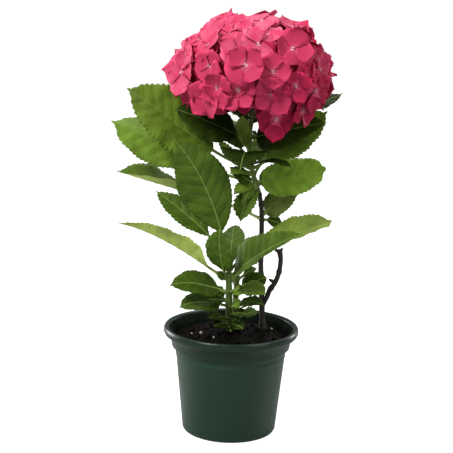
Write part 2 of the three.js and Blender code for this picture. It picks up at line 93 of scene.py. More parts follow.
# What the dressed pot adds: an underside raised within its rim, and a moulded ring below the
# collar. Then the length of the drill for its holes, and the degrees past which an edge is crisp
UNDERSIDE_RISE = 0.8
UNDERSIDE_RIM = 5
MOULDED_RING_DROP = 5
DRILL_DEPTH = 12
POT_SHARP_ANGLE = 40

# Sizes of the compost, as in the solids
COMPOST_TOP = 114
COMPOST_EDGE = 105
COMPOST_PLATEAU_RADIUS = 44
COMPOST_SHOULDER_RADIUS = 54
COMPOST_SHOULDER = 111

# What the dressed compost adds: a rough ground of coarse and fine humps, and loose crumbs
COMPOST_RADIUS = 65.5
BED_RIM_RADIUS = 65.3
BED_RINGS_FROM = 63
BED_STEP = 3
BED_SIDES = 120
ROUGH_RADIUS = 60
COARSE_SPACING = 14
COARSE_RISE = 1.5
FINE_SPACING = 3.5
FINE_RISE = 1.1
GROUND_SINK = 0.6
CRUMB_SPREAD = 65
CRUMB_CEILING = 118
CRUMB_SIZES = (0.7, 2.6)
CRUMB_LENGTHS = (0.7, 1.6)
CRUMB_HEIGHTS = (0.5, 0.9)
CRUMB_LUMPS = 0.35
CRUMB_LIFT = 0.25

# Pale granules: two that lie in sight at the front, and then one among so many crumbs
GRANULES = [(-44.4, -10.6), (-33.8, -9.6)]
GRANULE_EVERY = 150
GRANULE_FIRST = 7
GRANULE_SIZES = (1.1, 1.9)
GRANULE_LIFT = 0.6

# Stems: the height of the compost at their feet, how far a foot goes on into what carries it, the
# spacing of a stem's rings, its joints and the relief of its bark
STEM_FOOT = 114.3
ROOTED_DEPTH = 2.5
GRAFTED_DEPTH = 1.2
STEM_RING_SPACING = 1.2
JOINT_SPREAD = 1.9
BARK_GRAIN = 0.09
BARK_KNOTS = 0.08
STEM_SHARP_ANGLE = 50

# Leaves, by the rule of the solids: the petiole's angle and lead, the bow and the outline
SEAT_GAP = 0.3
PETIOLE_RADIUS = 1.6
PETIOLE_ANGLE = 30
PETIOLE_LEAD = 0.8
BOW_AT = 0.6
BOW_GAIN = 1.8
WIDEST_AT = 0.47
TIP_SHARPNESS = 1.1
BLADE_FOLD = 8
FOLD_OVER = 0.2
LARGE_LEAF_LENGTH = 75

# What the dressed leaf adds: the beak at its tip, teeth, side veins and a thin blade
BEAK_FROM = 0.89
BEAK_TO = 0.975
BEAK_BREADTH = 0.4
RINGS_PER_TOOTH = 5
FEWEST_TEETH = 7
LARGE_LEAF_COLUMNS = 16
SMALL_LEAF_COLUMNS = 12
SIDE_VEIN_SPACING = 12.5
SIDE_VEIN_LIMITS = (5, 9)
SIDE_VEIN_ANGLE = 50
PETIOLE_RING_SPACING = 4
PETIOLE_SUNK = 1.3
PETIOLE_FOOT_GAIN = 1.5
PETIOLE_TAPER = 0.16
BLADE_HALF_THICKNESS = 0.28
BLADE_FOOT_GAIN = 0.12
VEIN_RIDGE = 0.35

# How finely the curves of stems and leaves are read
CURVE_STEP = 1e-4
CURVE_HALVINGS = 30
MIDRIB_STEPS = 200

# The bloom's dome and the spiral of its outer florets, by the rule of the solids
BLOOM_CENTRE = Vector((13, 0, 404))
BLOOM_RADIUS = 85
BLOOM_RISE = 58
BLOOM_DROP = 46
FACING_ABOVE = 1.2
FACING_BELOW = 0.3
SPIRAL_FLORETS = 78
SPIRAL_SPACING = 17
SPIRAL_DEPTH = 1.5
SPIRAL_SHARES = (0.97, 1.05)
SPIRAL_SIZES = (0.9, 1.1)
GOLDEN_ANGLE = math.pi * (3 - math.sqrt(5))

# What the dressed bloom adds: some florets of the spiral set back by a share of the dome's radius,
# a second spiral behind the first, and the shape of its sepals and stalks
SPIRAL_SET_BACK = {30: 0.17, 22: 0.06, 42: 0.06}
LEFT_SET_BACK = 0.05
INNER_DEPTH = 1.62
INNER_START = 1.1
INNER_SHARES = (0.79, 0.91)
INNER_SIZES = (0.85, 1.05)
INNER_DRAWS = 500
PLACED_LEAN = 0.5
FREE_LEAN = 0.65
SEPALS = 4
SEPAL_FOOT = 0.6
SEPAL_HALF_THICKNESS = 0.16
SEPAL_LENGTHS = (0.84, 1.08)
SEPAL_BREADTHS = (0.9, 1.2)
SEPAL_CUPS = (1.0, 7.5)
SEPAL_CURLS = (-5.5, 4.0)
SEPAL_HOLLOWS = (-0.26, 0.4)
SEPAL_RIPPLE = 0.9
SEPAL_TWIST = 0.16
SEPAL_LAYER = 1.1
HANGING_GAIN = 0.2
HANGING_NARROWING = 0.25
BUD_RADIUS = 0.9
BUD_RISE = 1.3
SHOOT_HEAD = Vector((14.5, 5, 366))
BLOOM_CROWN = Vector((14, 3, 386))
CROWN_DEPTH = 6
STALK_RADII = (1.1, 0.55)
TRUNK_RADII = (2.3, 3.4)
# The way towards the light, by which the outer florets are dealt painted light and shade
SUNLIGHT = Vector((-0.5, -0.25, 0.83))

# Share of a sepal's length and its half breadth at each row, and its columns
SEPAL_ROWS = (
    (0, 0.05), (0.065, 0.1), (0.22, 0.34), (0.42, 0.55), (0.58, 0.575), (0.75, 0.43), (0.9, 0.19),
    (1, 0.02))
SEPAL_COLUMNS = (-1, -0.55, 0, 0.55, 1)

# The stage, in metres and degrees: the camera, whose sensor is in millimetres, the floor, and each
# soft light's place, breadth and share of the main light's power
CAMERA_PLACE = (-0.00825, -1.333, 0.508)
CAMERA_PITCH = 11.58
CAMERA_ROLL = 1.49
SENSOR_WIDTH = 36
FLOOR_HALF_BREADTH = 60
LIGHTS_AIM = Vector((0, 0, 0.25))
LIGHTS = {
    "main light": ((-1.2, -1.2, 1.8), 0.9, 1),
    "fill light": ((1.5, -1.2, 1.3), 1.4, 0.26),
    "top light": ((0.3, 0.9, 1.7), 1.0, 0.4),
    "left edge light": ((-1.7, 1.1, 0.35), 0.9, 0.5),
    "right edge light": ((1.6, 1.2, 0.35), 0.6, 0.16),
}

# Each stem's centre line, as points with the radius at each, the heights of its joints, and whether
# it has bark
STEMS = {
    "old_stem": {
        "path": [
            (36, 14, 114.3, 4.6), (35, 14, 124, 3.3), (34.2, 14, 145, 3.2), (32.1, 14, 178, 3),
            (31.4, 13, 206, 2.9), (31, 12, 241, 2.7), (29.8, 11, 258, 2.6), (27, 10.5, 272, 2.5),
        ],
        "joints": [145, 178, 206, 241, 258, 270],
        "bark": True,
    },
    "flowering_shoot": {
        "path": [
            (26.8, 10.4, 272.4, 2.7), (22, 9, 286, 2.5), (18.3, 8, 300, 2.4), (15, 7, 317, 2.3),
            (15.2, 6, 331, 2.2), (15.3, 5.5, 344, 2.2), (15, 5, 356, 2.2), (14.5, 5, 368, 2.3),
        ],
        "joints": [286, 301, 317, 334, 357],
        "bark": False,
    },
    "side_branch": {
        "path": [
            (34.8, 13.6, 138.5, 1.8), (36.8, 13, 145.5, 2.7), (39.8, 12, 152.5, 2.9),
            (42.6, 11, 160.5, 2.9), (48, 8, 170, 2.8), (52.4, 6, 184, 2.7), (53.4, 5, 198, 2.7),
            (51.4, 5, 209, 3.4),
        ],
        "joints": [163, 183],
        "bark": True,
    },
    "young_shoot": {
        "path": [
            (-1, 8, 114.3, 4.4), (-2.2, 1, 128, 4.1), (-3, -7, 145, 4), (-3.8, -14, 165, 3.8),
            (-4.2, -20, 185, 3.2), (-4, -24, 196, 2.2),
        ],
        "joints": [131, 147, 165, 184],
        "bark": False,
    },
    "second_shoot": {
        "path": [
            (6.6, 12, 114.3, 4), (5, 6, 135, 3.7), (4.2, 1, 158, 3.3), (5.4, -4, 180, 2.6),
            (4.4, -9, 193, 1.2),
        ],
        "joints": [128, 158, 176],
        "bark": False,
    },
}

# A row of the leaf tables: the stem, the height of the node on it, the reach from there to the tip,
# the way the upper side looks, the arch of the midrib, the width, the length of the petiole, the
# tone, and then the values that differ from the usual ones, where it has any.
LeafRow = namedtuple(
    "LeafRow", "stem at reach face arch width petiole tone extra", defaults=({},))

# Leaves that are solids too, each in the place of its own node
LEAVES = {
    "leaf_under_bloom_front": (
        "flowering_shoot", 357, (-30, -58, 8), (0, 0, 1), 9, 44, 12, "shaded", {"steep": 10}),
    "leaf_under_bloom_right": (
        "flowering_shoot", 356, (106, 62, 24), (0, -0.3, 1), -6, 34, 24, "shaded",
        {"steep": 0, "widest": 0.6}),
    "leaf_under_bloom_left": (
        "flowering_shoot", 333, (-84, -14, 32), (-0.2, -0.6, 0.8), 4, 62, 12, "shaded", {"steep": 0}),
    "leaf_right_shaded": (
        "flowering_shoot", 334, (82, -26, 22), (0.1, -0.75, 0.65), 2, 50, 5, "shaded",
        {"steep": 0, "widest": 0.3, "sharp": 1.0}),
    "leaf_upright": (
        "flowering_shoot", 320, (-9, -23, 41), (-0.3, -0.9, 0.2), 2, 17, 3, "sunlit",
        {"widest": 0.58, "sharp": 0.6, "teeth": 0.4}),
    "leaf_front_short": (
        "flowering_shoot", 313, (-11, -74, -4), (0, -0.3, 1), 14, 54, 12, "dim"),
    "leaf_left_high": (
        "flowering_shoot", 303, (-137, -23, 84), (-0.3, -0.6, 0.7), 1, 72, 44, "middle",
        {"steep": 20, "sharp": 0.9, "teeth": 1.9}),
    "leaf_right_high": (
        "flowering_shoot", 300, (81, 0, 65), (0.1, -0.6, 0.8), -3, 48, 14, "bright",
        {"steep": 10, "widest": 0.5, "sharp": 0.85, "teeth": 1.5}),
    "leaf_left_middle": (
        "flowering_shoot", 288, (-159, -6, 61), (-0.3, -0.6, 0.7), 3, 54, 42, "bright",
        {"steep": 10, "fold": -12, "widest": 0.6, "sharp": 0.9, "teeth": 1.1}),
    "leaf_right_middle": (
        "flowering_shoot", 284, (77, -9, 19), (0.1, -0.8, 0.6), -2, 46, 4, "light",
        {"steep": 0, "fold": -10, "widest": 0.44, "sharp": 0.5}),
    "leaf_left_level": (
        "old_stem", 243, (-164, 3, 49), (0, 0.5, 1), 0, 46, 60, "level",
        {"fold": 32, "twist": -55, "widest": 0.62}),
    "leaf_right_small": (
        "old_stem", 250, (40, 22, 24), (0.1, -0.8, 0.5), 0, 28, 3, "grey",
        {"steep": 10, "widest": 0.35, "sharp": 0.7, "teeth": 0.8}),
    "leaf_centre_hanging": (
        "flowering_shoot", 281, (-17, -32, -36), (-0.3, -0.8, 0.4), 4, 26, 8, "deep", {"teeth": 1.6}),
    "leaf_centre_small": (
        "flowering_shoot", 293, (-26, -28, 4), (-0.2, -0.5, 0.8), 4, 20, 6, "middle"),
    "leaf_front_large": (
        "young_shoot", 193, (-62, -41, 147), (0.1, -0.95, 0.3), 4, 58, 44, "deep",
        {"steep": 85, "sway": 12, "teeth": 0.7, "fold": -9}),
    "leaf_right_bright": (
        "young_shoot", 186, (76, -73, 63), (-0.78, -0.4, 0.48), 8, 48, 6, "deep",
        {"fold": 28, "widest": 0.22, "sharp": 0.9, "teeth": 0.7}),
    "leaf_right_long": (
        "young_shoot", 190, (115, 43, 49.5), (0.1, -0.32, 0.94), 6, 40, 30, "sunlit",
        {"steep": 70, "fold": 22, "widest": 0.6, "sharp": 0.55, "teeth": 1.2}),
    "leaf_left_shaded": (
        "young_shoot", 184, (-11, -26, 58), (-0.5, -0.8, 0.1), 4, 36, 8, "deep",
        {"steep": 60, "sharp": 0.9, "teeth": 0.6}),
    "leaf_left_light": (
        "young_shoot", 180, (-124, -12, 62), (0.2, 0.3, 1), 9, 40, 22, "olive",
        {"fold": 40, "widest": 0.36, "teeth": 0.8}),
    "leaf_left_inner": (
        "young_shoot", 190, (-84, 24, 83), (-0.3, -0.4, 0.85), 11, 32, 44, "deep", {"steep": 88}),
    "leaf_behind_stem": (
        "young_shoot", 175, (45, 66, 22), (0.1, -0.3, 1), 0, 26, 20, "grey", {"sway": -8}),
    "leaf_low_left": (
        "young_shoot", 164, (-65, -20, 10), (-0.1, -0.6, 0.8), 11, 36, 8, "low",
        {"widest": 0.42, "sharp": 0.8, "teeth": 0.5}),
    "leaf_low_right": (
        "young_shoot", 165, (40, -30, 4), (0.1, -0.5, 0.9), 8, 30, 4, "middle",
        {"widest": 0.45, "sharp": 0.75, "teeth": 0.4}),
    "leaf_base_left": (
        "young_shoot", 147, (-55, -18, 0), (-0.1, -0.5, 0.8), 9, 32, 8, "low",
        {"widest": 0.42, "sharp": 0.8, "teeth": 0.5}),
    "leaf_base_right": (
        "young_shoot", 147, (38, -20, 6), (0.1, -0.4, 0.9), 6, 22, 6, "low",
        {"sharp": 0.8, "teeth": 0.4}),
    "leaf_rounded_right": (
        "second_shoot", 158, (34, -2, 20), (0.1, -0.7, 0.7), 8, 26, 5, "low",
        {"widest": 0.42, "sharp": 0.75, "teeth": 0.4}),
    "leaf_small_right": (
        "second_shoot", 177, (22, 2, 11), (0, -0.4, 0.9), 3, 14, 4, "low", {"teeth": 0.4}),
    "leaf_base_dull": (
        "second_shoot", 128, (24, 2, 6), (0.1, -0.4, 0.9), 3, 18, 4, "deep", {"sharp": 0.8}),
    "leaf_base_shaded": (
        "young_shoot", 131, (-22, -16, 2), (-0.1, -0.4, 0.9), 5, 26, 4, "low", {"sharp": 0.8}),
    "leaf_base_inner": (
        "young_shoot", 150, (-26, 22, 8), (-0.1, -0.4, 0.9), 4, 22, 5, "deep", {"sharp": 0.8}),
    "leaf_right_narrow": ("flowering_shoot", 305, (44, -34, 1), (0.1, -0.2, 1), 5, 20, 5, "shaded"),
    "leaf_behind_shoot": (
        "flowering_shoot", 336, (18, 34, -20), (0.2, -0.5, 0.8), 4, 26, 6, "shaded", {"widest": 0.4}),
    "leaf_back_high": ("flowering_shoot", 340, (10, 96, 10), (0, 0.4, 0.9), 12, 54, 18, "middle"),
    "leaf_back_left": (
        "flowering_shoot", 310, (-56, 92, 34), (-0.2, 0.4, 0.9), 12, 60, 20, "middle"),
    "leaf_back_right": (
        "flowering_shoot", 292, (50, 98, 30), (0.2, 0.4, 0.9), 12, 60, 20, "bright"),
    "leaf_back_low": ("young_shoot", 172, (6, 92, 50), (-0.1, 0.5, 0.9), 10, 32, 26, "deep"),
}

# Small leaves in the axils of larger ones and at the shoot's foot, which ride with their stem
LEAFLETS = {
    "leaflet_axil_low": (
        "flowering_shoot", 279, (-9, -25, -25), (-0.2, -0.9, 0.3), 5, 15, 3, "middle", {"teeth": 1.2}),
    "leaflet_axil_left": ("flowering_shoot", 284, (-24, -22, -11), (-0.3, -0.8, 0.5), 4, 16, 4, "middle"),
    "leaflet_axil_mid": ("flowering_shoot", 283, (-15, -28, -18), (0.2, -0.9, 0.4), 3, 12, 3, "deep"),
    "leaflet_fork": ("flowering_shoot", 296, (-22, -12, -2), (-0.1, -0.7, 0.7), 3, 14, 4, "deep"),
    "leaflet_shoot_left": ("young_shoot", 153, (-24, -14, 3), (-0.1, -0.6, 0.8), 3, 15, 4, "low"),
    "leaflet_shoot_foot": ("young_shoot", 133, (-13, -17, 2), (-0.1, -0.6, 0.8), 2, 14, 3, "low"),
    "leaflet_shoot_right": ("young_shoot", 137, (18, -17, 4), (0.1, -0.6, 0.8), 3, 13, 3, "low"),
    "leaflet_between": ("young_shoot", 166, (15, -17, 9), (0.1, -0.7, 0.7), 2, 10, 3, "middle"),
    "leaflet_under_right": ("second_shoot", 140, (14, -18, 8), (0.1, -0.5, 0.8), 2, 12, 3, "deep"),
    "leaflet_middle_foot": ("young_shoot", 127, (9, -13, 11), (0.1, -0.8, 0.6), 2, 10, 3, "low"),
    "leaflet_middle_high": ("young_shoot", 146, (12, -15, 12), (0.1, -0.8, 0.6), 2, 11, 3, "middle"),
    "leaflet_in_gap": ("flowering_shoot", 300, (-39, -22, 34), (0.1, -0.8, 0.5), -4, 13, 12, "light"),
    "leaflet_dark_mid": ("flowering_shoot", 283, (-30, -16, 20), (-0.3, -0.7, 0.6), 3, 18, 3, "low"),
    "leaflet_right_fill": (
        "flowering_shoot", 280, (34, 14, 12), (0.1, -0.8, 0.6), 2, 26, 2, "plain",
        {"widest": 0.35, "teeth": 0.5}),
    "leaflet_right_base": (
        "old_stem", 247, (27, 14, 12), (0.1, -0.8, 0.5), 2, 22, 2, "grey",
        {"widest": 0.35, "teeth": 0.5}),
    "leaflet_right_low": (
        "old_stem", 241, (24, 4, -8), (0.1, -0.7, 0.6), 3, 15, 2, "low", {"teeth": 0.5}),
    "leaflet_foot_left": (
        "young_shoot", 125, (-17, -19, -1), (-0.2, -0.7, 0.6), 4, 17, 3, "shaded", {"sharp": 0.8}),
    "leaflet_foot_right": (
        "young_shoot", 123, (15, -19, -2), (0.2, -0.7, 0.6), 4, 16, 3, "shaded", {"sharp": 0.8}),
    "leaflet_foot_front": (
        "young_shoot", 121, (1, -20, -3), (0, -0.8, 0.5), 3, 15, 2, "shaded", {"sharp": 0.8}),
    "leaflet_top_left": ("young_shoot", 180, (-14, -15, 12), (-0.2, -0.8, 0.6), 2, 10, 3, "middle"),
}

# Florets of the bloom's front: degrees round from the front, degrees above the rim, share of the
# dome's radius, size beside an ordinary floret, and degrees of turn.
PLACED_FLORETS = [
    (-4, 15, 1.06, 1.15, 40), (15, 9, 1, 1, 10), (5, 37, 1.02, 1.1, 30), (-12, 32, 0.98, 1.05, 60),
    (-64, 22, 0.97, 0.95, 20), (-60, 3, 0.98, 1.05, 45), (-24, -11, 1.02, 0.95, 0),
    (-9, -13, 0.98, 1.05, 25), (15, -17, 1, 1.05, 50), (-36, -26, 1.06, 1, 5),
    (32, -6, 1.02, 0.8, 45), (44, 4, 0.98, 0.95, 15), (57, 9, 1.02, 1, 70), (70, 20, 0.95, 0.95, 30),
    (34, 32, 1.03, 1.1, 0), (60, 56, 1.06, 1, 45), (-42, 50, 0.97, 1, 10), (-42, 36, 0.97, 1, 55),
    (54, -14, 1.02, 1, 35), (27, -52, 1.16, 1.05, 10), (48, -40, 1.14, 0.8, 0),
    (-28, 64, 0.96, 1, 65), (20, 70, 1.06, 1, 20), (18, 52, 0.98, 1, 75), (-8, 52, 1, 0.9, 5),
    (-76, 12, 0.95, 0.9, 60), (-82, -4, 0.95, 0.85, 30), (80, -2, 0.93, 0.85, 80),
    (-33, 13, 0.94, 0.9, 35), (150, 80, 0.98, 1.1, 20), (79, 44, 1, 1, 15), (-70, 42, 0.93, 0.9, 50),
    (90, 70, 0.98, 1, 40), (53, 36, 0.95, 0.9, 65), (-128, 60, 1, 1, 70), (-98, -6, 0.95, 0.95, 25),
    (-102, -22, 0.9, 0.9, 60),
]

# Florets set further in behind gaps of the front, in the same terms
FILLING_FLORETS = [
    (-56, 12, 0.86, 0.95, 20), (-54, 28, 0.88, 0.9, 60), (-48, 0, 0.86, 0.9, 40), (36, 13, 0.88, 0.9, 40),
]


def colour_value(label, default, note):
    return FloatVectorProperty(
        name=label, description=note, default=default, subtype="COLOR", size=3, min=0, max=1)


def length_value(label, default, note):
    return FloatProperty(name=label, description=note, default=default, unit="LENGTH")


def count_value(label, default, note, least, most):
    return IntProperty(name=label, description=note, default=default, min=least, max=most)


class HydrangeaPotSettings(bpy.types.PropertyGroup):
    wall: length_value("Wall", 0.0017, "Thickness of the pot's wall")
    steps: count_value("Steps", 144, "Faces round the pot", 36, 288)
    plastic: colour_value("Plastic", (0.014, 0.047, 0.025), "Colour of the pot")
    compost: colour_value("Compost", (0.0035, 0.0027, 0.0021), "Colour of moist compost")
    crumbs: count_value("Crumbs", 460, "Loose crumbs on the compost", 0, 2000)


class HydrangeaStemSettings(bpy.types.PropertyGroup):
    sides: count_value("Sides", 20, "Faces round a stem", 8, 48)
    swelling: length_value("Swelling", 0.0007, "Rise of a stem at its joints")
    bark: colour_value("Bark", (0.036, 0.027, 0.021), "Colour of old bark")
    shoot: colour_value("Shoot", (0.14, 0.21, 0.045), "Colour of a green shoot")


class HydrangeaLeafSettings(bpy.types.PropertyGroup):
    tooth_pitch: length_value("Tooth pitch", 0.005, "Distance between teeth of the edge")
    tooth_depth: length_value("Tooth depth", 0.0013, "Depth of the teeth")
    quilting: length_value("Quilting", 0.0015, "Rise of the blade between side veins")
    bright: colour_value("Bright leaf", (0.18, 0.31, 0.029), "Upper side in full light")
    middle: colour_value("Middle leaf", (0.145, 0.245, 0.019), "Upper side of most leaves")
    deep: colour_value("Deep leaf", (0.082, 0.158, 0.01), "Upper side of older leaves")
    vein: colour_value("Vein", (0.21, 0.31, 0.07), "Veins of the upper side")
    underside: colour_value("Underside", (0.48, 0.63, 0.125), "Paler lower side")


class HydrangeaBloomSettings(bpy.types.PropertyGroup):
    floret_radius: length_value("Floret radius", 0.0205, "Reach of a sepal")
    inner_florets: count_value("Inner florets", 90, "Florets set behind the outer ones", 0, 200)
    # Blush is also painted light on florets that face the light, and crimson painted shade on florets
    # turned away and on inner ones.
    rose: colour_value("Rose", (0.62, 0.045, 0.122), "Most sepals")
    crimson: colour_value("Crimson", (0.5, 0.022, 0.08), "Sepals behind")
    blush: colour_value("Blush", (0.76, 0.11, 0.21), "Lightest sepals")
    eye: colour_value("Eye", (0.85, 0.32, 0.42), "Middle of a floret")


class HydrangeaStageSettings(bpy.types.PropertyGroup):
    floor: colour_value("Floor", (0.4, 0.4, 0.4), "Colour of the floor")
    main_light: FloatProperty(
        name="Main light", description="Power of the light at the left", default=50, unit="POWER")
    lens: FloatProperty(
        name="Lens", description="Focal length of the camera", default=97.3, unit="CAMERA")


# A repeatable scatter between 0 and 1 for a counting number. What a call adds to its number only
# keeps that draw apart from the others.
def scatter(n):
    value = math.sin(n * 12.9898) * 43758.5453
    return value - math.floor(value)


def lerp(a, b, t):
    return a + (b - a) * t


def clamp(value, low=0.0, high=1.0):
    return max(low, min(high, value))


def smooth(low, high, value):
    t = clamp((value - low) / (high - low))
    return t * t * (3 - 2 * t)


# The way that a curve runs at t, from two points close by
def heading_of(curve, t):
    return (curve(min(1, t + CURVE_STEP)) - curve(max(0, t - CURVE_STEP))).normalized()


# A curve of a stem, centripetal through its points, read at 0 for its foot and 1 for its tip
class StemLine:
    def __init__(self, path):
        self.points = [Vector(point[:3]) for point in path]
        self.radii = [point[3] for point in path]

    def point(self, t):
        points = self.points
        place = t * (len(points) - 1)
        i = min(int(place), len(points) - 2)
        w = place - i
        p1, p2 = points[i], points[i + 1]
        p0 = points[i - 1] if i > 0 else 2 * p1 - p2
        p3 = points[i + 2] if i + 2 < len(points) else 2 * p2 - p1
        d0 = (p1 - p0).length ** 0.5
        d1 = (p2 - p1).length ** 0.5
        d2 = (p3 - p2).length ** 0.5
        leave = ((p1 - p0) / d0 - (p2 - p0) / (d0 + d1) + (p2 - p1) / d1) * d1
        arrive = ((p2 - p1) / d1 - (p3 - p1) / (d1 + d2) + (p3 - p2) / d2) * d1
        square = -3 * p1 + 3 * p2 - 2 * leave - arrive
        cube = 2 * p1 - 2 * p2 + leave + arrive
        return p1 + leave * w + square * w * w + cube * w * w * w

    def growth(self, t):
        return heading_of(self.point, t)

    def radius(self, t):
        place = t * (len(self.radii) - 1)
        i = min(int(place), len(self.radii) - 2)
        return lerp(self.radii[i], self.radii[i + 1], place - i)

    def at_height(self, height):
        low, high = 0.0, 1.0
        for _ in range(CURVE_HALVINGS):
            middle = (low + high) / 2
            if self.point(middle).z < height:
                low = middle
            else:
                high = middle
        return low


# A curve of a leaf's midrib, read by the share of its length
class MidribLine:
    def __init__(self, foot, leaving, bow, tip):
        self.controls = (foot, leaving, bow, tip)
        self.lengths = [0.0]
        before = foot
        for i in range(1, MIDRIB_STEPS + 1):
            point = self.raw(i / MIDRIB_STEPS)
            self.lengths.append(self.lengths[-1] + (point - before).length)
            before = point
        self.length = self.lengths[-1]

    def raw(self, t):
        foot, leaving, bow, tip = self.controls
        k = 1 - t
        return k * k * k * foot + 3 * k * k * t * leaving + 3 * k * t * t * bow + t * t * t * tip

    def share(self, s):
        target = s * self.length
        low, high = 0, MIDRIB_STEPS
        while high - low > 1:
            middle = (low + high) // 2
            if self.lengths[middle] < target:
                low = middle
            else:
                high = middle
        span = self.lengths[high] - self.lengths[low]
        return (low + (target - self.lengths[low]) / span) / MIDRIB_STEPS

    def point(self, s):
        return self.raw(self.share(s))

    def tangent(self, s):
        return heading_of(self.raw, self.share(s))


# Each vertex of a unit shape is moved to its place by a function of its old place.
def reshape(verts, place):
    for vert in verts:
        vert.co = place(vert)


def faces_of(verts):
    return {face for vert in verts for face in vert.link_faces}


# A flat sheet of faces with an under side, joined round its edge: x and y run from -0.5 to 0.5,
# z is 1 on the upper side and -1 on the lower one.
def thin_sheet(bm, across, along):
    upper = bmesh.ops.create_grid(bm, x_segments=across, y_segments=along, size=0.5)["verts"]
    faces = list(faces_of(upper))
    under = bmesh.ops.extrude_face_region(bm, geom=faces, use_keep_orig=True)["geom"]
    lower = [part for part in under if isinstance(part, bmesh.types.BMVert)]
    for vert in upper:
        vert.co.z = 1
    for vert in lower:
        vert.co.z = -1
    return upper + lower


# A round rod of one unit, cut into rings along its length: z runs from 0 to 1.
def ringed_rod(bm, sides, rings):
    done = bm.verts.layers.int.get("done") or bm.verts.layers.int.new("done")
    bmesh.ops.create_cone(
        bm, cap_ends=True, segments=sides, radius1=1, radius2=1, depth=1,
        matrix=Matrix.Translation((0, 0, 0.5)))
    long_edges = [
        edge for edge in bm.edges
        if not edge.verts[0][done] and abs(edge.verts[0].co.z - edge.verts[1].co.z) > 0.5]
    bmesh.ops.subdivide_edges(bm, edges=long_edges, cuts=rings - 1)
    rod = [vert for vert in bm.verts if not vert[done]]
    for vert in rod:
        vert[done] = 1
    return rod


def place_mesh(bm, name, materials=()):
    mesh = bpy.data.meshes.new(name)
    bm.to_mesh(mesh)
    bm.free()
    for material in materials:
        mesh.materials.append(material)
    placed = bpy.data.objects.new(name, mesh)
    bpy.context.scene.collection.objects.link(placed)
    return placed


def finish_piece(bm, name, materials, slot, nodes, sharp=None):
    bmesh.ops.recalc_face_normals(bm, faces=bm.faces)
    bmesh.ops.scale(bm, vec=(MM, MM, MM), verts=bm.verts)
    piece = place_mesh(bm, name, materials)
    piece.data.shade_smooth()
    if sharp is not None:
        piece.data.set_sharp_from_angle(angle=math.radians(sharp))
    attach(piece, "root")
    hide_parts(*nodes)
    return piece


# Shader helpers
def add_node(tree, kind, **settings):
    node = tree.nodes.new(kind)
    for key, value in settings.items():
        setattr(node, key, value)
    return node


# Each socket that is named is joined to another node's socket, or given a value of its own.
def feed(tree, node, values):
    for key, value in values.items():
        socket = node.inputs[key]
        if isinstance(value, bpy.types.NodeSocket):
            tree.links.new(value, socket)
        elif socket.type == "RGBA":
            socket.default_value = (*value[:3], 1.0)
        else:
            socket.default_value = value


def calculate(tree, operation, *values):
    node = add_node(tree, "ShaderNodeMath", operation=operation)
    feed(tree, node, dict(enumerate(values)))
    return node.outputs[0]


def blend_colours(tree, share, first, second):
    node = add_node(tree, "ShaderNodeMix", data_type="RGBA")
    feed(tree, node, {0: share, 6: first, 7: second})
    return node.outputs[2]


def fade(tree, value, start, end, first=0.0, last=1.0):
    node = add_node(tree, "ShaderNodeMapRange", interpolation_type="SMOOTHSTEP")
    feed(tree, node, {
        "Value": value, "From Min": start, "From Max": end, "To Min": first, "To Max": last})
    return node.outputs["Result"]


def object_place(tree):
    return add_node(tree, "ShaderNodeTexCoord").outputs["Object"]


def attribute_of(tree, name):
    return add_node(tree, "ShaderNodeAttribute", attribute_name=name).outputs["Fac"]


def cloud(tree, scale, detail=4.0, roughness=0.55, vector=None):
    node = add_node(tree, "ShaderNodeTexNoise")
    place = object_place(tree) if vector is None else vector
    feed(tree, node, {"Vector": place, "Scale": scale, "Detail": detail, "Roughness": roughness})
    return node.outputs["Fac"]


def stretched(tree, scale):
    mapping = add_node(tree, "ShaderNodeMapping")
    feed(tree, mapping, {"Vector": object_place(tree), "Scale": scale})
    return mapping.outputs["Vector"]


def add_relief(tree, shader, height, strength, distance):
    relief = add_node(tree, "ShaderNodeBump")
    feed(tree, relief, {"Strength": strength, "Distance": distance, "Height": height})
    feed(tree, shader, {"Normal": relief.outputs["Normal"]})


# A node group with colours and values to put in, which puts out a colour, a roughness and a height
def start_group(name, colours, values):
    tree = bpy.data.node_groups.new(name, "ShaderNodeTree")
    for kind, defaults in (("NodeSocketColor", colours), ("NodeSocketFloat", values)):
        for label, default in defaults.items():
            socket = tree.interface.new_socket(label, in_out="INPUT", socket_type=kind)
            socket.default_value = default
    tree.interface.new_socket("Color", in_out="OUTPUT", socket_type="NodeSocketColor")
    tree.interface.new_socket("Roughness", in_out="OUTPUT", socket_type="NodeSocketFloat")
    tree.interface.new_socket("Height", in_out="OUTPUT", socket_type="NodeSocketFloat")
    return tree, add_node(tree, "NodeGroupInput").outputs, add_node(tree, "NodeGroupOutput")


# Colour that drifts between two tones, with a fine relief over it
def mottle_group():
    name = "Living mottle"
    if name in bpy.data.node_groups:
        return bpy.data.node_groups[name]
    tree, given, out = start_group(
        name, {"Main": (0.5, 0.5, 0.5, 1), "Drift": (0.2, 0.2, 0.2, 1)},
        {"Patch scale": 60, "Grain scale": 900})
    patches = cloud(tree, given["Patch scale"], detail=3)
    grain = cloud(tree, given["Grain scale"], detail=3)
    share = fade(tree, patches, 0.35, 0.68)
    feed(tree, out, {
        "Color": blend_colours(tree, share, given["Main"], given["Drift"]),
        "Roughness": fade(tree, grain, 0.3, 0.7, 0.42, 0.62),
        "Height": calculate(tree, "ADD", grain, calculate(tree, "MULTIPLY", patches, 0.6))})
    return tree


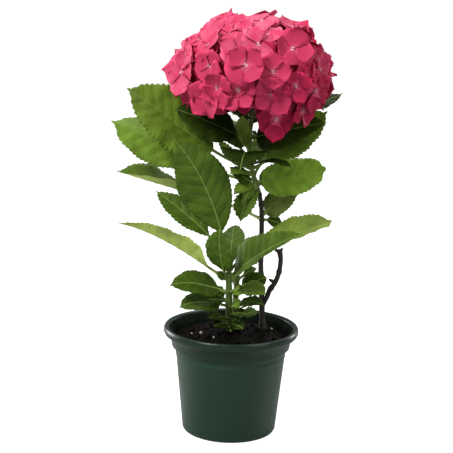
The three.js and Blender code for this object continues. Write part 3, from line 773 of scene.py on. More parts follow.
# Pale midrib and side veins, and the fine net between them, from the leaf's own vein attributes
def vein_group():
    name = "Leaf veins"
    if name in bpy.data.node_groups:
        return bpy.data.node_groups[name]
    tree, given, out = start_group(
        name,
        {"Blade": (0.1, 0.2, 0.03, 1), "Drift": (0.06, 0.12, 0.02, 1), "Vein": (0.3, 0.36, 0.12, 1)},
        {"Side veins": 0.6, "Net": 0.3})
    vein = given["Vein"]
    phase = calculate(tree, "FRACT", attribute_of(tree, "vein_phase"))
    from_vein = calculate(tree, "ABSOLUTE", calculate(tree, "SUBTRACT", phase, 0.5))
    side_vein = fade(tree, from_vein, 0.01, 0.06, 1.0, 0.0)
    midrib = fade(tree, attribute_of(tree, "from_midrib"), 0.45, 1.05, 1.0, 0.0)
    cells = add_node(tree, "ShaderNodeTexVoronoi", feature="DISTANCE_TO_EDGE")
    feed(tree, cells, {"Vector": object_place(tree), "Scale": 330})
    net = fade(tree, cells.outputs["Distance"], 0.02, 0.16, 1.0, 0.0)
    patches = cloud(tree, 52, detail=5)
    grain = cloud(tree, 700, detail=3)
    blade = blend_colours(tree, fade(tree, patches, 0.35, 0.7), given["Blade"], given["Drift"])
    netted = blend_colours(tree, calculate(tree, "MULTIPLY", net, given["Net"]), blade, vein)
    side_share = calculate(tree, "MULTIPLY", side_vein, given["Side veins"])
    sided = blend_colours(tree, side_share, netted, vein)
    creases = calculate(tree, "MAXIMUM", side_vein, calculate(tree, "MULTIPLY", net, 0.5))
    feed(tree, out, {
        "Color": blend_colours(tree, midrib, sided, vein),
        "Roughness": fade(tree, grain, 0.25, 0.75, 0.46, 0.62),
        "Height": calculate(tree, "SUBTRACT", calculate(tree, "MULTIPLY", grain, 0.35), creases)})
    return tree


def new_material(name):
    material = bpy.data.materials.new(name)
    material.use_nodes = True
    return material, material.node_tree, material.node_tree.nodes["Principled BSDF"]


# A group is given its values, and its colour, roughness and relief go to the shader.
def use_group(tree, shader, group, values, strength, distance):
    node = add_node(tree, "ShaderNodeGroup", node_tree=group)
    feed(tree, node, values)
    feed(tree, shader, {"Base Color": node.outputs["Color"], "Roughness": node.outputs["Roughness"]})
    add_relief(tree, shader, node.outputs["Height"], strength, distance)


def tinted(colour, gain):
    return tuple(clamp(channel * gain) for channel in colour)


def pot_plastic(settings):
    material, tree, shader = new_material("pot plastic")
    scuffs = cloud(tree, 1, detail=2, roughness=0.5, vector=stretched(tree, (130, 130, 70)))
    dust = cloud(tree, 26, detail=6, roughness=0.65)
    place = add_node(tree, "ShaderNodeSeparateXYZ")
    feed(tree, place, {"Vector": object_place(tree)})
    height = place.outputs["Z"]
    # The rolled lip is darker in patches: wear, and painted shade that holds down the light its top
    # catches.
    lip = fade(tree, height, (POT_HEIGHT - LIP_HEIGHT - 0.5) * MM, (POT_HEIGHT - 1) * MM)
    lip_wear_and_shade = calculate(tree, "MULTIPLY", lip, fade(tree, dust, 0.35, 0.6, 0.4, 1.0))
    # The collar and everything above it are blended towards near-black: painted shade under the lip.
    collar = fade(tree, height, POT_BODY_HEIGHT * MM, (POT_BODY_HEIGHT + 6) * MM, 0.0, 0.45)
    dusty = fade(tree, dust, 0.45, 0.75, 0.0, 0.5)
    plain = blend_colours(tree, dusty, settings.plastic, (0.02, 0.045, 0.029))
    shade_under_lip = blend_colours(tree, collar, plain, (0.004, 0.012, 0.007))
    feed(tree, shader, {
        "Base Color": blend_colours(tree, lip_wear_and_shade, shade_under_lip, (0.011, 0.02, 0.014)),
        "Roughness": fade(tree, scuffs, 0.3, 0.7, 0.27, 0.36),
        "Specular IOR Level": 0.28})
    add_relief(tree, shader, scuffs, 0.05, 0.0002)
    return material


# The inside wall of the pot: near-black painted shade, with stains of two dark tones over it.
def shaded_soiled_plastic():
    material, tree, shader = new_material("shaded soiled plastic")
    stains = fade(tree, cloud(tree, 60, detail=5, roughness=0.6), 0.35, 0.65)
    feed(tree, shader, {
        "Base Color": blend_colours(tree, stains, (0.006, 0.01, 0.007), (0.016, 0.024, 0.017)),
        "Roughness": 0.85, "Specular IOR Level": 0.02})
    return material


def mottled_material(name, main, drift, *, patch_scale, grain_scale, strength, distance):
    material, tree, shader = new_material(name)
    values = {"Main": main, "Drift": drift, "Patch scale": patch_scale, "Grain scale": grain_scale}
    use_group(tree, shader, mottle_group(), values, strength, distance)
    return material


def compost_material(settings, name, gain):
    colour = tinted(settings.compost, gain)
    material = mottled_material(
        name, colour, tinted(colour, 1.7), patch_scale=260, grain_scale=1300, strength=0.8,
        distance=0.0006)
    shader = material.node_tree.nodes["Principled BSDF"]
    shader.inputs["Specular IOR Level"].default_value = 0.03
    return material


def granule_material():
    return mottled_material(
        "pale granules", (0.5, 0.47, 0.4), (0.3, 0.27, 0.2), patch_scale=400, grain_scale=1500,
        strength=0.5, distance=0.0003)


def shoot_material(name, colour, drift):
    return mottled_material(
        name, colour, drift, patch_scale=110, grain_scale=1400, strength=0.3, distance=0.0002)


def bark_material(settings):
    material, tree, shader = new_material("old bark")
    grain = cloud(tree, 1, detail=6, roughness=0.65, vector=stretched(tree, (1500, 1500, 180)))
    patches = fade(tree, cloud(tree, 90, detail=4), 0.4, 0.65)
    main = blend_colours(tree, patches, settings.bark, tinted(settings.bark, 1.7))
    furrows = fade(tree, grain, 0.42, 0.58)
    feed(tree, shader, {
        "Base Color": blend_colours(tree, furrows, tinted(settings.bark, 0.6), main),
        "Roughness": 0.75})
    add_relief(tree, shader, grain, 0.7, 0.0005)
    return material


# The tones of the leaves: the upper side's colour, how far its side veins show, and how pale the
# lower side is. Some tones are painted light and some are painted shade, as marked at each.
def leaf_tones(settings):
    return {
        "bright": (settings.bright, 0.34, 0.8),
        "middle": (settings.middle, 0.34, 0.3),
        "deep": (tinted(settings.deep, 0.88), 0.3, 0.4),
        # Painted shade: the darkest tone, for a leaf that lies in the bloom's shadow
        "dim": (tinted(settings.deep, 0.17), 0.05, 0.08),
        # Painted light: brighter than the bright tone
        "light": (tinted(settings.bright, 1.5), 0.3, 0.6),
        "plain": (tinted(settings.middle, 0.8), 0.32, 0.3),
        "low": (tinted(settings.deep, 0.52), 0.2, 0.3),
        # Painted shade, for leaves under the bloom and under other leaves
        "shaded": (tinted(settings.deep, 0.3), 0.06, 0.08),
        "olive": ((0.19, 0.25, 0.03), 0.22, 1),
        "level": (tinted(settings.middle, 0.62), 0.22, 1.25),
        # Painted light, for leaves that catch it
        "sunlit": ((0.25, 0.35, 0.046), 0.26, 0.8),
        "grey": ((0.18, 0.24, 0.05), 0.2, 0.5),
    }


def leaf_side_material(name, colour, vein, side_veins, net, gloss):
    if name in bpy.data.materials:
        return bpy.data.materials[name]
    material, tree, shader = new_material(name)
    values = {
        "Blade": colour, "Drift": tinted(colour, 0.64), "Vein": vein, "Side veins": side_veins,
        "Net": net}
    use_group(tree, shader, vein_group(), values, 0.55, 0.0006)
    shader.inputs["Specular IOR Level"].default_value = gloss
    return material


def leaf_materials(settings, tone):
    blade, side_veins, paleness = leaf_tones(settings)[tone]
    gloss = 0.06 if tone in ("low", "shaded", "dim") else 0.14
    under = tinted(settings.underside, paleness)
    under_vein = tinted((0.45, 0.52, 0.2), paleness)
    return [
        leaf_side_material(f"{tone} leaf upper side", blade, settings.vein, side_veins, 0.07, gloss),
        leaf_side_material(f"{tone} leaf lower side", under, under_vein, 0.5, 0.2, gloss)]


def sepal_material(name, colour, drift):
    material, tree, shader = new_material(name)
    # Sepals are lighter at their margins and tips and darker in the middle: painted light through the thin
    # edges.
    rim = fade(tree, attribute_of(tree, "rim"), 0.1, 1.0)
    lit_rim = blend_colours(tree, rim, tinted(colour, 0.84), tinted(colour, 1.3))
    values = {"Main": lit_rim, "Drift": drift, "Patch scale": 85, "Grain scale": 700}
    use_group(tree, shader, mottle_group(), values, 0.25, 0.0004)
    shader.inputs["Specular IOR Level"].default_value = 0.07
    return material


# The inside of the pot from the middle of its floor up to its collar, for a wall of this thickness
def inner_profile(wall):
    return [
        (0, wall + UNDERSIDE_RISE),
        (POT_BASE_RADIUS - POT_BASE_ROUND - wall, wall + UNDERSIDE_RISE),
        (POT_BASE_RADIUS - wall, POT_BASE_ROUND + wall),
        (POT_BODY_RADIUS - wall, POT_BODY_HEIGHT),
        (COLLAR_RADIUS - COLLAR_FLARE - wall, POT_BODY_HEIGHT + COLLAR_STEP),
    ]


# The pot: a spun wall with a moulded ring, a collar and a rolled lip
def pot_profile(wall):
    body_slope = (POT_BODY_RADIUS - POT_BASE_RADIUS) / (POT_BODY_HEIGHT - POT_BASE_ROUND)
    ring = POT_BODY_HEIGHT - MOULDED_RING_DROP
    on_body = POT_BODY_RADIUS - MOULDED_RING_DROP * body_slope
    outside = [
        (0, UNDERSIDE_RISE), (POT_BASE_RADIUS - UNDERSIDE_RIM - 1, UNDERSIDE_RISE),
        (POT_BASE_RADIUS - UNDERSIDE_RIM, 0),
        (POT_BASE_RADIUS - POT_BASE_ROUND, 0),
        (POT_BASE_RADIUS - 0.4 * POT_BASE_ROUND, 0.3 * POT_BASE_ROUND),
        (POT_BASE_RADIUS, POT_BASE_ROUND),
        (on_body - 0.2, ring - 1.6), (on_body + 0.3, ring - 0.7), (on_body + 0.4, ring + 0.5),
        (on_body + 0.1, ring + 1.3),
        (POT_BODY_RADIUS, POT_BODY_HEIGHT),
        (POT_BODY_RADIUS + 0.5 * COLLAR_FLARE, POT_BODY_HEIGHT + 0.5 * COLLAR_STEP),
        (COLLAR_RADIUS - COLLAR_FLARE, POT_BODY_HEIGHT + COLLAR_STEP),
        (COLLAR_RADIUS, POT_HEIGHT - 2.2 * LIP_HEIGHT),
        (COLLAR_RADIUS + LIP_ROLL, POT_HEIGHT - 1.75 * LIP_HEIGHT),
        (LIP_RADIUS - 0.5 * LIP_ROLL, POT_HEIGHT - 1.4 * LIP_HEIGHT),
        (LIP_RADIUS, POT_HEIGHT - LIP_HEIGHT),
        (LIP_RADIUS, POT_HEIGHT - LIP_ROLL),
        (LIP_RADIUS - 0.5 * LIP_ROLL, POT_HEIGHT - 0.2 * LIP_ROLL),
        (LIP_RADIUS - 1.2 * LIP_ROLL, POT_HEIGHT),
        (LIP_RADIUS - 2 * LIP_ROLL, POT_HEIGHT - 0.3 * LIP_ROLL),
        (LIP_RADIUS - 2.6 * LIP_ROLL, POT_HEIGHT - LIP_ROLL),
        (COLLAR_RADIUS - wall, POT_HEIGHT - 2.2 * LIP_HEIGHT),
    ]
    return outside + inner_profile(wall)[::-1]


def spun(bm, profile, steps):
    verts = [bm.verts.new((r, 0, z)) for r, z in profile]
    edges = [bm.edges.new(pair) for pair in zip(verts, verts[1:])]
    bmesh.ops.spin(
        bm, geom=verts + edges, cent=(0, 0, 0), axis=(0, 0, 1), angle=2 * math.pi, steps=steps,
        use_merge=True)
    bmesh.ops.remove_doubles(bm, verts=bm.verts, dist=0.001)
    bmesh.ops.recalc_face_normals(bm, faces=bm.faces)


# The holes are drilled once the pot is a mesh in metres.
def cut_drain_holes(piece):
    bm = bmesh.new()
    for i in range(DRAIN_HOLES):
        angle = 2 * math.pi * (i + 0.5) / DRAIN_HOLES
        middle = (DRAIN_RING_RADIUS * MM * math.cos(angle), DRAIN_RING_RADIUS * MM * math.sin(angle), 0)
        bmesh.ops.create_cone(
            bm, cap_ends=True, segments=32, radius1=DRAIN_RADIUS * MM, radius2=DRAIN_RADIUS * MM,
            depth=DRILL_DEPTH * MM, matrix=Matrix.Translation(middle))
    drill = place_mesh(bm, "drain drill")
    cut = piece.modifiers.new("drain holes", "BOOLEAN")
    cut.object = drill
    cut.operation = "DIFFERENCE"
    cut.solver = "EXACT"
    bpy.context.view_layer.update()
    evaluated = piece.evaluated_get(bpy.context.evaluated_depsgraph_get())
    holed = bpy.data.meshes.new_from_object(evaluated)
    piece.modifiers.clear()
    spent = [piece.data, drill.data]
    piece.data = holed
    bpy.data.objects.remove(drill)
    for mesh in spent:
        bpy.data.meshes.remove(mesh)


# Height of the compost at a distance from the pot's axis
def compost_surface(r):
    if r < COMPOST_PLATEAU_RADIUS:
        return COMPOST_TOP
    if r < COMPOST_SHOULDER_RADIUS:
        share = (r - COMPOST_PLATEAU_RADIUS) / (COMPOST_SHOULDER_RADIUS - COMPOST_PLATEAU_RADIUS)
        return lerp(COMPOST_TOP, COMPOST_SHOULDER, smooth(0, 1, share))
    share = (r - COMPOST_SHOULDER_RADIUS) / (COMPOST_RADIUS - COMPOST_SHOULDER_RADIUS)
    return lerp(COMPOST_SHOULDER, COMPOST_EDGE, clamp(share))


def rough_ground(x, y):
    coarse = noise.noise(Vector((x / COARSE_SPACING, y / COARSE_SPACING, 0.3)))
    fine = noise.noise(Vector((x / FINE_SPACING, y / FINE_SPACING, 4.7)))
    return COARSE_RISE * coarse + FINE_RISE * fine - GROUND_SINK


class HYDRANGEA_OT_pot(bpy.types.Operator):
    """Spin the green nursery pot with its collar, rolled lip and drain holes"""
    bl_idname = "hydrangea.pot"
    bl_label = "Pot"

    def execute(self, context):
        settings = context.scene.hydrangea_pot
        bm = bmesh.new()
        spun(bm, pot_profile(settings.wall / MM), settings.steps)
        # Faces inside the pot below the lip take the second material, which is painted shade.
        for face in bm.faces:
            middle = face.calc_center_median()
            inward = middle.x * face.normal.x + middle.y * face.normal.y < -0.1
            face.material_index = 1 if inward and middle.z < POT_HEIGHT - LIP_ROLL else 0
        plastics = [pot_plastic(settings), shaded_soiled_plastic()]
        piece = finish_piece(bm, "pot_shell", plastics, "pot_plastic", ["pot"], POT_SHARP_ANGLE)
        cut_drain_holes(piece)
        piece.data.set_sharp_from_angle(angle=math.radians(POT_SHARP_ANGLE))
        return {"FINISHED"}


class HYDRANGEA_OT_compost(bpy.types.Operator):
    """Fill the pot with a rough mound of compost, loose crumbs and a few pale granules"""
    bl_idname = "hydrangea.compost"
    bl_label = "Compost"

    def execute(self, context):
        settings = context.scene.hydrangea_pot
        bm = bmesh.new()
        rings = (BED_RIM_RADIUS, *range(BED_RINGS_FROM, -1, -BED_STEP))
        top = [(r, compost_surface(r)) for r in rings]
        spun(bm, inner_profile(settings.wall / MM + SEAT_GAP) + top, BED_SIDES)
        for vert in bm.verts:
            x, y, z = vert.co
            if z > COMPOST_EDGE - 1:
                inside = smooth(COMPOST_RADIUS, ROUGH_RADIUS, math.hypot(x, y))
                vert.co.z = z + rough_ground(x, y) * inside
        moist = compost_material(settings, "moist compost", 1)
        finish_piece(bm, "compost_bed", [moist], "compost", ["compost"])
        self.add_crumbs(settings)
        return {"FINISHED"}

    def add_crumbs(self, settings):
        bm = bmesh.new()
        for i in range(settings.crumbs):
            pale = i < len(GRANULES) or i % GRANULE_EVERY == GRANULE_FIRST
            r = CRUMB_SPREAD * math.sqrt(scatter(i + 0.5))
            angle = 2 * math.pi * scatter(i + 1700)
            x, y = r * math.cos(angle), r * math.sin(angle)
            if i < len(GRANULES):
                x, y = GRANULES[i]
                r = math.hypot(x, y)
            size = lerp(*CRUMB_SIZES, scatter(i + 900) ** 2.2)
            lift = CRUMB_LIFT
            tone = 1 if scatter(i + 77) > 0.6 else 0
            if pale:
                size = lerp(*GRANULE_SIZES, scatter(i + 40))
                lift = GRANULE_LIFT
                tone = 2
            z = min(compost_surface(r) + rough_ground(x, y) + lift * size, CRUMB_CEILING)
            ball = bmesh.ops.create_icosphere(bm, subdivisions=1, radius=1)["verts"]
            turn = Quaternion((scatter(i), scatter(i + 3), scatter(i + 5)), 6 * scatter(i + 11))
            squash = Vector((
                lerp(*CRUMB_LENGTHS, scatter(i + 21)), 1, lerp(*CRUMB_HEIGHTS, scatter(i + 31))))
            for vert in ball:
                bump = 1 + CRUMB_LUMPS * noise.noise(vert.co * 1.7 + Vector((i, 0, 0)))
                vert.co = turn @ (vert.co * squash) * size * bump + Vector((x, y, z))
            for face in faces_of(ball):
                face.material_index = tone
        tones = [
            compost_material(settings, "dark crumbs", 0.8), compost_material(settings, "bark crumbs", 1.4),
            granule_material()]
        finish_piece(bm, "compost_crumbs", tones, "compost", ["compost"])


# A stem: a rod bent along its centre line, swollen at its joints and uneven where it has bark
def build_stem(stem, line, settings):
    length = (line.points[-1] - line.points[0]).length
    rings = max(12, round(length / STEM_RING_SPACING))
    swelling = settings.swelling / MM
    bm = bmesh.new()
    verts = ringed_rod(bm, settings.sides, rings)
    rooted = stem["path"][0][2] == STEM_FOOT
    frames = []
    for ring in range(rings + 1):
        t = ring / rings
        middle = line.point(t)
        growth = line.growth(t)
        across = Vector((0, -1, 0)).cross(growth).normalized()
        back = across.cross(growth)
        if ring == 0:
            middle = middle - growth * (ROOTED_DEPTH if rooted else GRAFTED_DEPTH)
        radius = line.radius(t)
        for joint in stem["joints"]:
            radius += swelling * math.exp(-(((middle.z - joint) / JOINT_SPREAD) ** 2))
        frames.append((middle, across, back, radius))

    def place(vert):
        middle, across, back, radius = frames[round(vert.co.z * rings)]
        spread = math.hypot(vert.co.x, vert.co.y)
        angle = math.atan2(vert.co.y, vert.co.x)
        relief = 1.0
        if stem["bark"]:
            grain = noise.noise(Vector((3 * math.cos(angle), 3 * math.sin(angle), middle.z / 9)))
            knots = noise.noise(Vector((1.4 * math.cos(angle), 1.4 * math.sin(angle), middle.z / 4 + 9)))
            relief += BARK_GRAIN * grain + BARK_KNOTS * knots
        reach = radius * relief * spread
        return middle + across * reach * math.cos(angle) + back * reach * math.sin(angle)

    reshape(verts, place)
    return bm


# A blunt bud with these half measures, narrower towards its tip by a share
def add_bud(bm, middle, direction, measures, narrowing):
    turn = UP.rotation_difference(direction)
    broad, deep, high = measures

    def place(vert):
        narrow = 1 - narrowing * clamp(vert.co.z)
        return middle + turn @ Vector((
            vert.co.x * broad * narrow, vert.co.y * deep * narrow, vert.co.z * high))

    reshape(bmesh.ops.create_uvsphere(bm, u_segments=14, v_segments=9, radius=1)["verts"], place)


# Two blunt buds at the cut end of the pruned branch, and a stub on its inner side
def add_bud_scars(bm, line):
    tip = line.point(1.0)
    growth = line.growth(1.0)
    for side, lean in ((-1, 0.75), (1, 0.6)):
        direction = (growth + Vector((side * lean, -0.1, 0))).normalized()
        add_bud(bm, tip + Vector((side * 2.9 - 0.6, 0, -0.6)), direction, (1.9, 2.1, 3.6), 0.35)
    stub = line.point(line.at_height(170))
    direction = Vector((-0.85, -0.1, 0.5)).normalized()
    add_bud(bm, stub + direction * 4.4, direction, (2.1, 2.1, 4.2), 0.45)


class HYDRANGEA_OT_stems(bpy.types.Operator):
    """Grow the old wood, the pruned branch and the green shoots along their centre lines"""
    bl_idname = "hydrangea.stems"
    bl_label = "Stems"

    def execute(self, context):
        settings = context.scene.hydrangea_stems
        bark = bark_material(settings)
        green = shoot_material("green shoot", settings.shoot, tinted(settings.shoot, 0.65))
        for name, stem in STEMS.items():
            line = StemLine(stem["path"])
            bm = build_stem(stem, line, settings)
            if name == "side_branch":
                add_bud_scars(bm, line)
            material, slot = (bark, "old_wood") if stem["bark"] else (green, "green_stem")
            finish_piece(bm, f"{name}_rod", [material], slot, [name], STEM_SHARP_ANGLE)
        return {"FINISHED"}


# Half breadth of a blade along it, drawn out to a short beak at its tip
def blade_outline(u, widest, sharpness):
    rise = sharpness * widest / (1 - widest)
    peak = widest ** rise * (1 - widest) ** sharpness
    beak = lerp(1, BEAK_BREADTH, smooth(BEAK_FROM, BEAK_TO, u))
    return (u ** rise) * ((1 - u) ** sharpness) / peak * beak


def midrib_of(leaf):
    line = StemLine(STEMS[leaf.stem]["path"])
    t = line.at_height(leaf.at)
    centre, growth, radius = line.point(t), line.growth(t), line.radius(t)
    reach = Vector(leaf.reach)
    heading = (reach - growth * reach.dot(growth)).normalized()
    face = Vector(leaf.face).normalized()
    side = reach.cross(face).normalized()
    foot = centre + heading * (radius + SEAT_GAP)
    steep = math.radians(leaf.extra.get("steep", PETIOLE_ANGLE))
    lead = PETIOLE_LEAD * leaf.petiole
    leaving = foot + heading * lead * math.cos(steep) + growth * lead * math.sin(steep)
    sway = BOW_GAIN * leaf.extra.get("sway", 0)
    bow = foot + reach * BOW_AT + face * BOW_GAIN * leaf.arch + side * sway
    return MidribLine(foot, leaving, bow, centre + reach), heading, face


# A leaf: a thin sheet bent along its midrib, round at the petiole, toothed at its edge and
# quilted between its side veins.
def build_leaf(leaf, settings, seed):
    line, heading, face = midrib_of(leaf)
    blade_length = line.length - leaf.petiole
    teeth = max(FEWEST_TEETH, round(blade_length / (settings.tooth_pitch / MM)))
    blade_rings = RINGS_PER_TOOTH * teeth
    petiole_rings = max(4, round(leaf.petiole / PETIOLE_RING_SPACING))
    rings = petiole_rings + blade_rings
    large = line.length > LARGE_LEAF_LENGTH
    share = leaf.petiole / line.length
    fold = math.radians(leaf.extra.get("fold", BLADE_FOLD))
    twist = math.radians(leaf.extra.get("twist", 0))
    widest = leaf.extra.get("widest", WIDEST_AT)
    sharpness = leaf.extra.get("sharp", TIP_SHARPNESS)
    side_veins = clamp(round(blade_length / SIDE_VEIN_SPACING), *SIDE_VEIN_LIMITS)
    slant = 0.5 * leaf.width / math.tan(math.radians(SIDE_VEIN_ANGLE)) / blade_length
    tooth_depth = settings.tooth_depth / MM * leaf.extra.get("teeth", 1)
    quilting = settings.quilting / MM * (1 if large else 0.5)
    frames = []
    for ring in range(rings + 1):
        u = max(0, (ring - petiole_rings) / blade_rings)
        s = share * ring / petiole_rings if ring < petiole_rings else share + (1 - share) * u
        along = line.tangent(s)
        side = along.cross(face)
        side = (side - along * side.dot(along)).normalized()
        side.rotate(Quaternion(along, twist * u))
        point = line.point(s)
        if ring == 0:
            point = point - heading * PETIOLE_SUNK
        frames.append((u, point, side, side.cross(along)))

    bm = bmesh.new()
    phase_layer = bm.verts.layers.float.new("vein_phase")
    rib_layer = bm.verts.layers.float.new("from_midrib")
    verts = thin_sheet(bm, LARGE_LEAF_COLUMNS if large else SMALL_LEAF_COLUMNS, rings)
    for panel in bm.faces:
        panel.material_index = 1 if panel.calc_center_median().z < -0.9 else 0

    def place(vert):
        ring = round((vert.co.y + 0.5) * rings)
        u, point, side, up = frames[ring]
        column = 2 * vert.co.x
        level = vert.co.z
        outline = blade_outline(u, widest, sharpness) if 0 < u < 1 else 0.0
        stalk = PETIOLE_RADIUS * lerp(1, PETIOLE_TAPER, u ** 0.6)
        if ring == 0:
            stalk *= PETIOLE_FOOT_GAIN
        half = max(stalk, 0.5 * leaf.width * outline)
        flat = smooth(1.0, 2.5, half / stalk)
        v = lerp(math.sin(column * math.pi / 2), math.copysign(abs(column) ** 1.5, column), flat)
        w = abs(v)
        tooth = (ring - petiole_rings) % RINGS_PER_TOOTH
        saw = (tooth / (RINGS_PER_TOOTH - 1)) ** 1.4 if u > 0 else 0.0
        reach_out = v * (half + tooth_depth * (saw - 0.4) * w ** 6 * smooth(0, 0.12, outline))
        phase = side_veins * (u - slant * (w * outline) ** 1.15) + 0.35
        vert[phase_layer] = phase if outline > 0 else 0.0
        vert[rib_layer] = abs(reach_out) / (0.5 * stalk + 0.25) if flat > 0 else 0.0
        raised = fold * min(1, u / FOLD_OVER)
        between = abs(math.cos(math.pi * phase)) ** 0.8
        swell = quilting * between * outline * math.sin(math.pi * clamp(w * 0.86 + 0.06)) ** 0.7
        wave = 0.045 * half * w ** 3 * math.sin(2 * math.pi * (2.3 * u + scatter(seed + (v > 0))))
        wave += 0.03 * half * w ** 2 * math.sin(2 * math.pi * (5.1 * u + scatter(seed + 9)))
        body = (BLADE_HALF_THICKNESS + BLADE_FOOT_GAIN * (1 - u)) * (1 - 0.5 * w)
        core = math.sqrt(max(0.0, stalk * stalk - reach_out * reach_out))
        if level > 0:
            thickness = max(body, core * (1 - smooth(0.0, 0.3, u)))
        else:
            ridge = VEIN_RIDGE * outline * (1 - w) * math.exp(-((between / 0.35) ** 2))
            thickness = max(body + ridge, core)
        lift = abs(reach_out) * math.sin(raised) + (swell + wave) * (1 if u > 0 else 0)
        return point + side * reach_out * math.cos(raised) + up * (lift + level * thickness)

    reshape(verts, place)
    return bm


class HYDRANGEA_OT_leaves(bpy.types.Operator):
    """Grow every leaf with its petiole, teeth, veins and paler underside"""
    bl_idname = "hydrangea.leaves"
    bl_label = "Leaves"

    def execute(self, context):
        settings = context.scene.hydrangea_leaves
        for number, (name, row) in enumerate([*LEAVES.items(), *LEAFLETS.items()]):
            leaf = LeafRow(*row)
            bm = build_leaf(leaf, settings, 31 * number)
            node = name if name in LEAVES else leaf.stem
            finish_piece(bm, f"{name}_blade", leaf_materials(settings, leaf.tone), "leaf", [node])
        return {"FINISHED"}


def dome_direction(around, above):
    a, b = math.radians(around), math.radians(above)
    return Vector((math.sin(a) * math.cos(b), -math.cos(a) * math.cos(b), math.sin(b)))


# A direction of a spiral down the dome, from its top over this depth of a sphere of one unit
def spiral_direction(i, count, depth, start=0.0):
    z = 1 - depth * (i + 0.5) / count
    ring = math.sqrt(1 - z * z)
    angle = i * GOLDEN_ANGLE + start
    return Vector((ring * math.cos(angle), ring * math.sin(angle), z))


def on_dome(direction, share):
    height = BLOOM_RISE if direction.z > 0 else BLOOM_DROP
    reach = Vector((direction.x * BLOOM_RADIUS, direction.y * BLOOM_RADIUS, direction.z * height))
    return BLOOM_CENTRE + reach * share


def placed_florets(rows):
    return [
        (dome_direction(around, above), share, size, math.radians(turn))
        for around, above, share, size, turn in rows]


# The outer florets, placed ones and then the spiral's by the rule of the solid, and inner ones
# behind them, which fill gaps and then follow a second spiral
def bloom_florets(inner_count):
    outer = placed_florets(PLACED_FLORETS)
    placed = [floret[0] for floret in outer]
    for i in range(SPIRAL_FLORETS):
        direction = spiral_direction(i, SPIRAL_FLORETS, SPIRAL_DEPTH)
        if min(direction.angle(other) for other in placed) < math.radians(SPIRAL_SPACING):
            continue
        set_back = SPIRAL_SET_BACK.get(i, LEFT_SET_BACK * smooth(-0.1, -0.4, direction.x))
        share = lerp(*SPIRAL_SHARES, scatter(i)) - set_back
        size = lerp(*SPIRAL_SIZES, scatter(i + 200))
        outer.append((direction, share, size, 2 * math.pi * scatter(i + 400)))
    inner = placed_florets(FILLING_FLORETS)
    for i in range(inner_count):
        direction = spiral_direction(i, inner_count, INNER_DEPTH, INNER_START)
        share = lerp(*INNER_SHARES, scatter(i + 600))
        size = lerp(*INNER_SIZES, scatter(i + 700))
        inner.append((direction, share, size, 2 * math.pi * scatter(i + 800)))
    return outer, inner


# One floret: four broad cupped sepals round a small bud, facing out of the dome. Its tones are the
# materials of its sepals, of their throats, of its eye and of its bud.
def add_floret(bm, floret, number, radius, tones):
    direction, share, size, turn = floret
    main, throat, eye_tone, bud_tone = tones
    facing = FACING_ABOVE if direction.z > 0 else FACING_BELOW
    outward = Vector((direction.x, direction.y, facing * direction.z)).normalized()
    lean = Vector([scatter(number + draw) - 0.5 for draw in (50, 60, 70)])
    leaning = PLACED_LEAN if number < len(PLACED_FLORETS) else FREE_LEAN
    outward = (outward + leaning * lean).normalized()
    eye = on_dome(direction, share)
    turned = UP.rotation_difference(outward)
    made = []
    rim_layer = bm.verts.layers.float.get("rim") or bm.verts.layers.float.new("rim")
    rows = len(SEPAL_ROWS) - 1
    columns = len(SEPAL_COLUMNS) - 1
    cup = lerp(*SEPAL_CUPS, scatter(number + 80))
    for k in range(SEPALS):
        draw = number * SEPALS + k
        verts = thin_sheet(bm, columns, rows)
        made += verts
        length = radius * size * lerp(*SEPAL_LENGTHS, scatter(draw + 300))
        broad = lerp(*SEPAL_BREADTHS, scatter(draw + 350))
        curl = lerp(*SEPAL_CURLS, scatter(draw + 450))
        hollow = lerp(*SEPAL_HOLLOWS, scatter(draw + 480))
        around = turn + 2 * math.pi * k / SEPALS + SEPAL_TWIST * (scatter(draw) - 0.5)
        spin = Quaternion(UP, around)
        hang = clamp(-(turned @ (spin @ Vector((1, 0, 0)))).z) if direction.z < 0.1 else 0
        length *= 1 + HANGING_GAIN * hang
        broad *= 1 - HANGING_NARROWING * hang
        layer = SEPAL_LAYER * (k % 2)
        for face in faces_of(verts):
            row = int((face.calc_center_median().y + 0.5) * rows)
            face.material_index = (eye_tone, throat)[row] if row < 2 else main
        for vert in verts:
            r, breadth = SEPAL_ROWS[round((vert.co.y + 0.5) * rows)]
            q = SEPAL_COLUMNS[round((vert.co.x + 0.5) * columns)]
            # How near a vertex lies to the margin or the tip, where the sepal material paints light.
            vert[rim_layer] = max(abs(q) ** 2 * smooth(0.2, 0.5, r), r ** 5)
            half = length * broad * breadth
            tip = 1 - 0.1 * q * q * r ** 4
            rise = cup * r ** 1.7 + curl * r ** 4 + hollow * half * q * q
            rise += SEPAL_RIPPLE * r * math.sin(5 * r + 2.6 * q + 1.7 * number + 2 * k)
            level = layer * (1 - 0.5 * r) + rise + SEPAL_HALF_THICKNESS * vert.co.z
            vert.co = eye + turned @ (spin @ Vector((SEPAL_FOOT + length * r * tip, half * q, level)))
    bud = bmesh.ops.create_icosphere(bm, subdivisions=1, radius=BUD_RADIUS)["verts"]
    for face in faces_of(bud):
        face.material_index = bud_tone
    for vert in bud:
        vert.co = eye + outward * BUD_RISE + turned @ vert.co
    return made + bud


def touches(verts, neighbours):
    index = {vert: i for i, vert in enumerate(verts)}
    faces = [[index[vert] for vert in face.verts] for face in faces_of(verts)]
    tree = BVHTree.FromPolygons([vert.co * MM for vert in verts], faces)
    return any(tree.overlap(other) for other in neighbours)


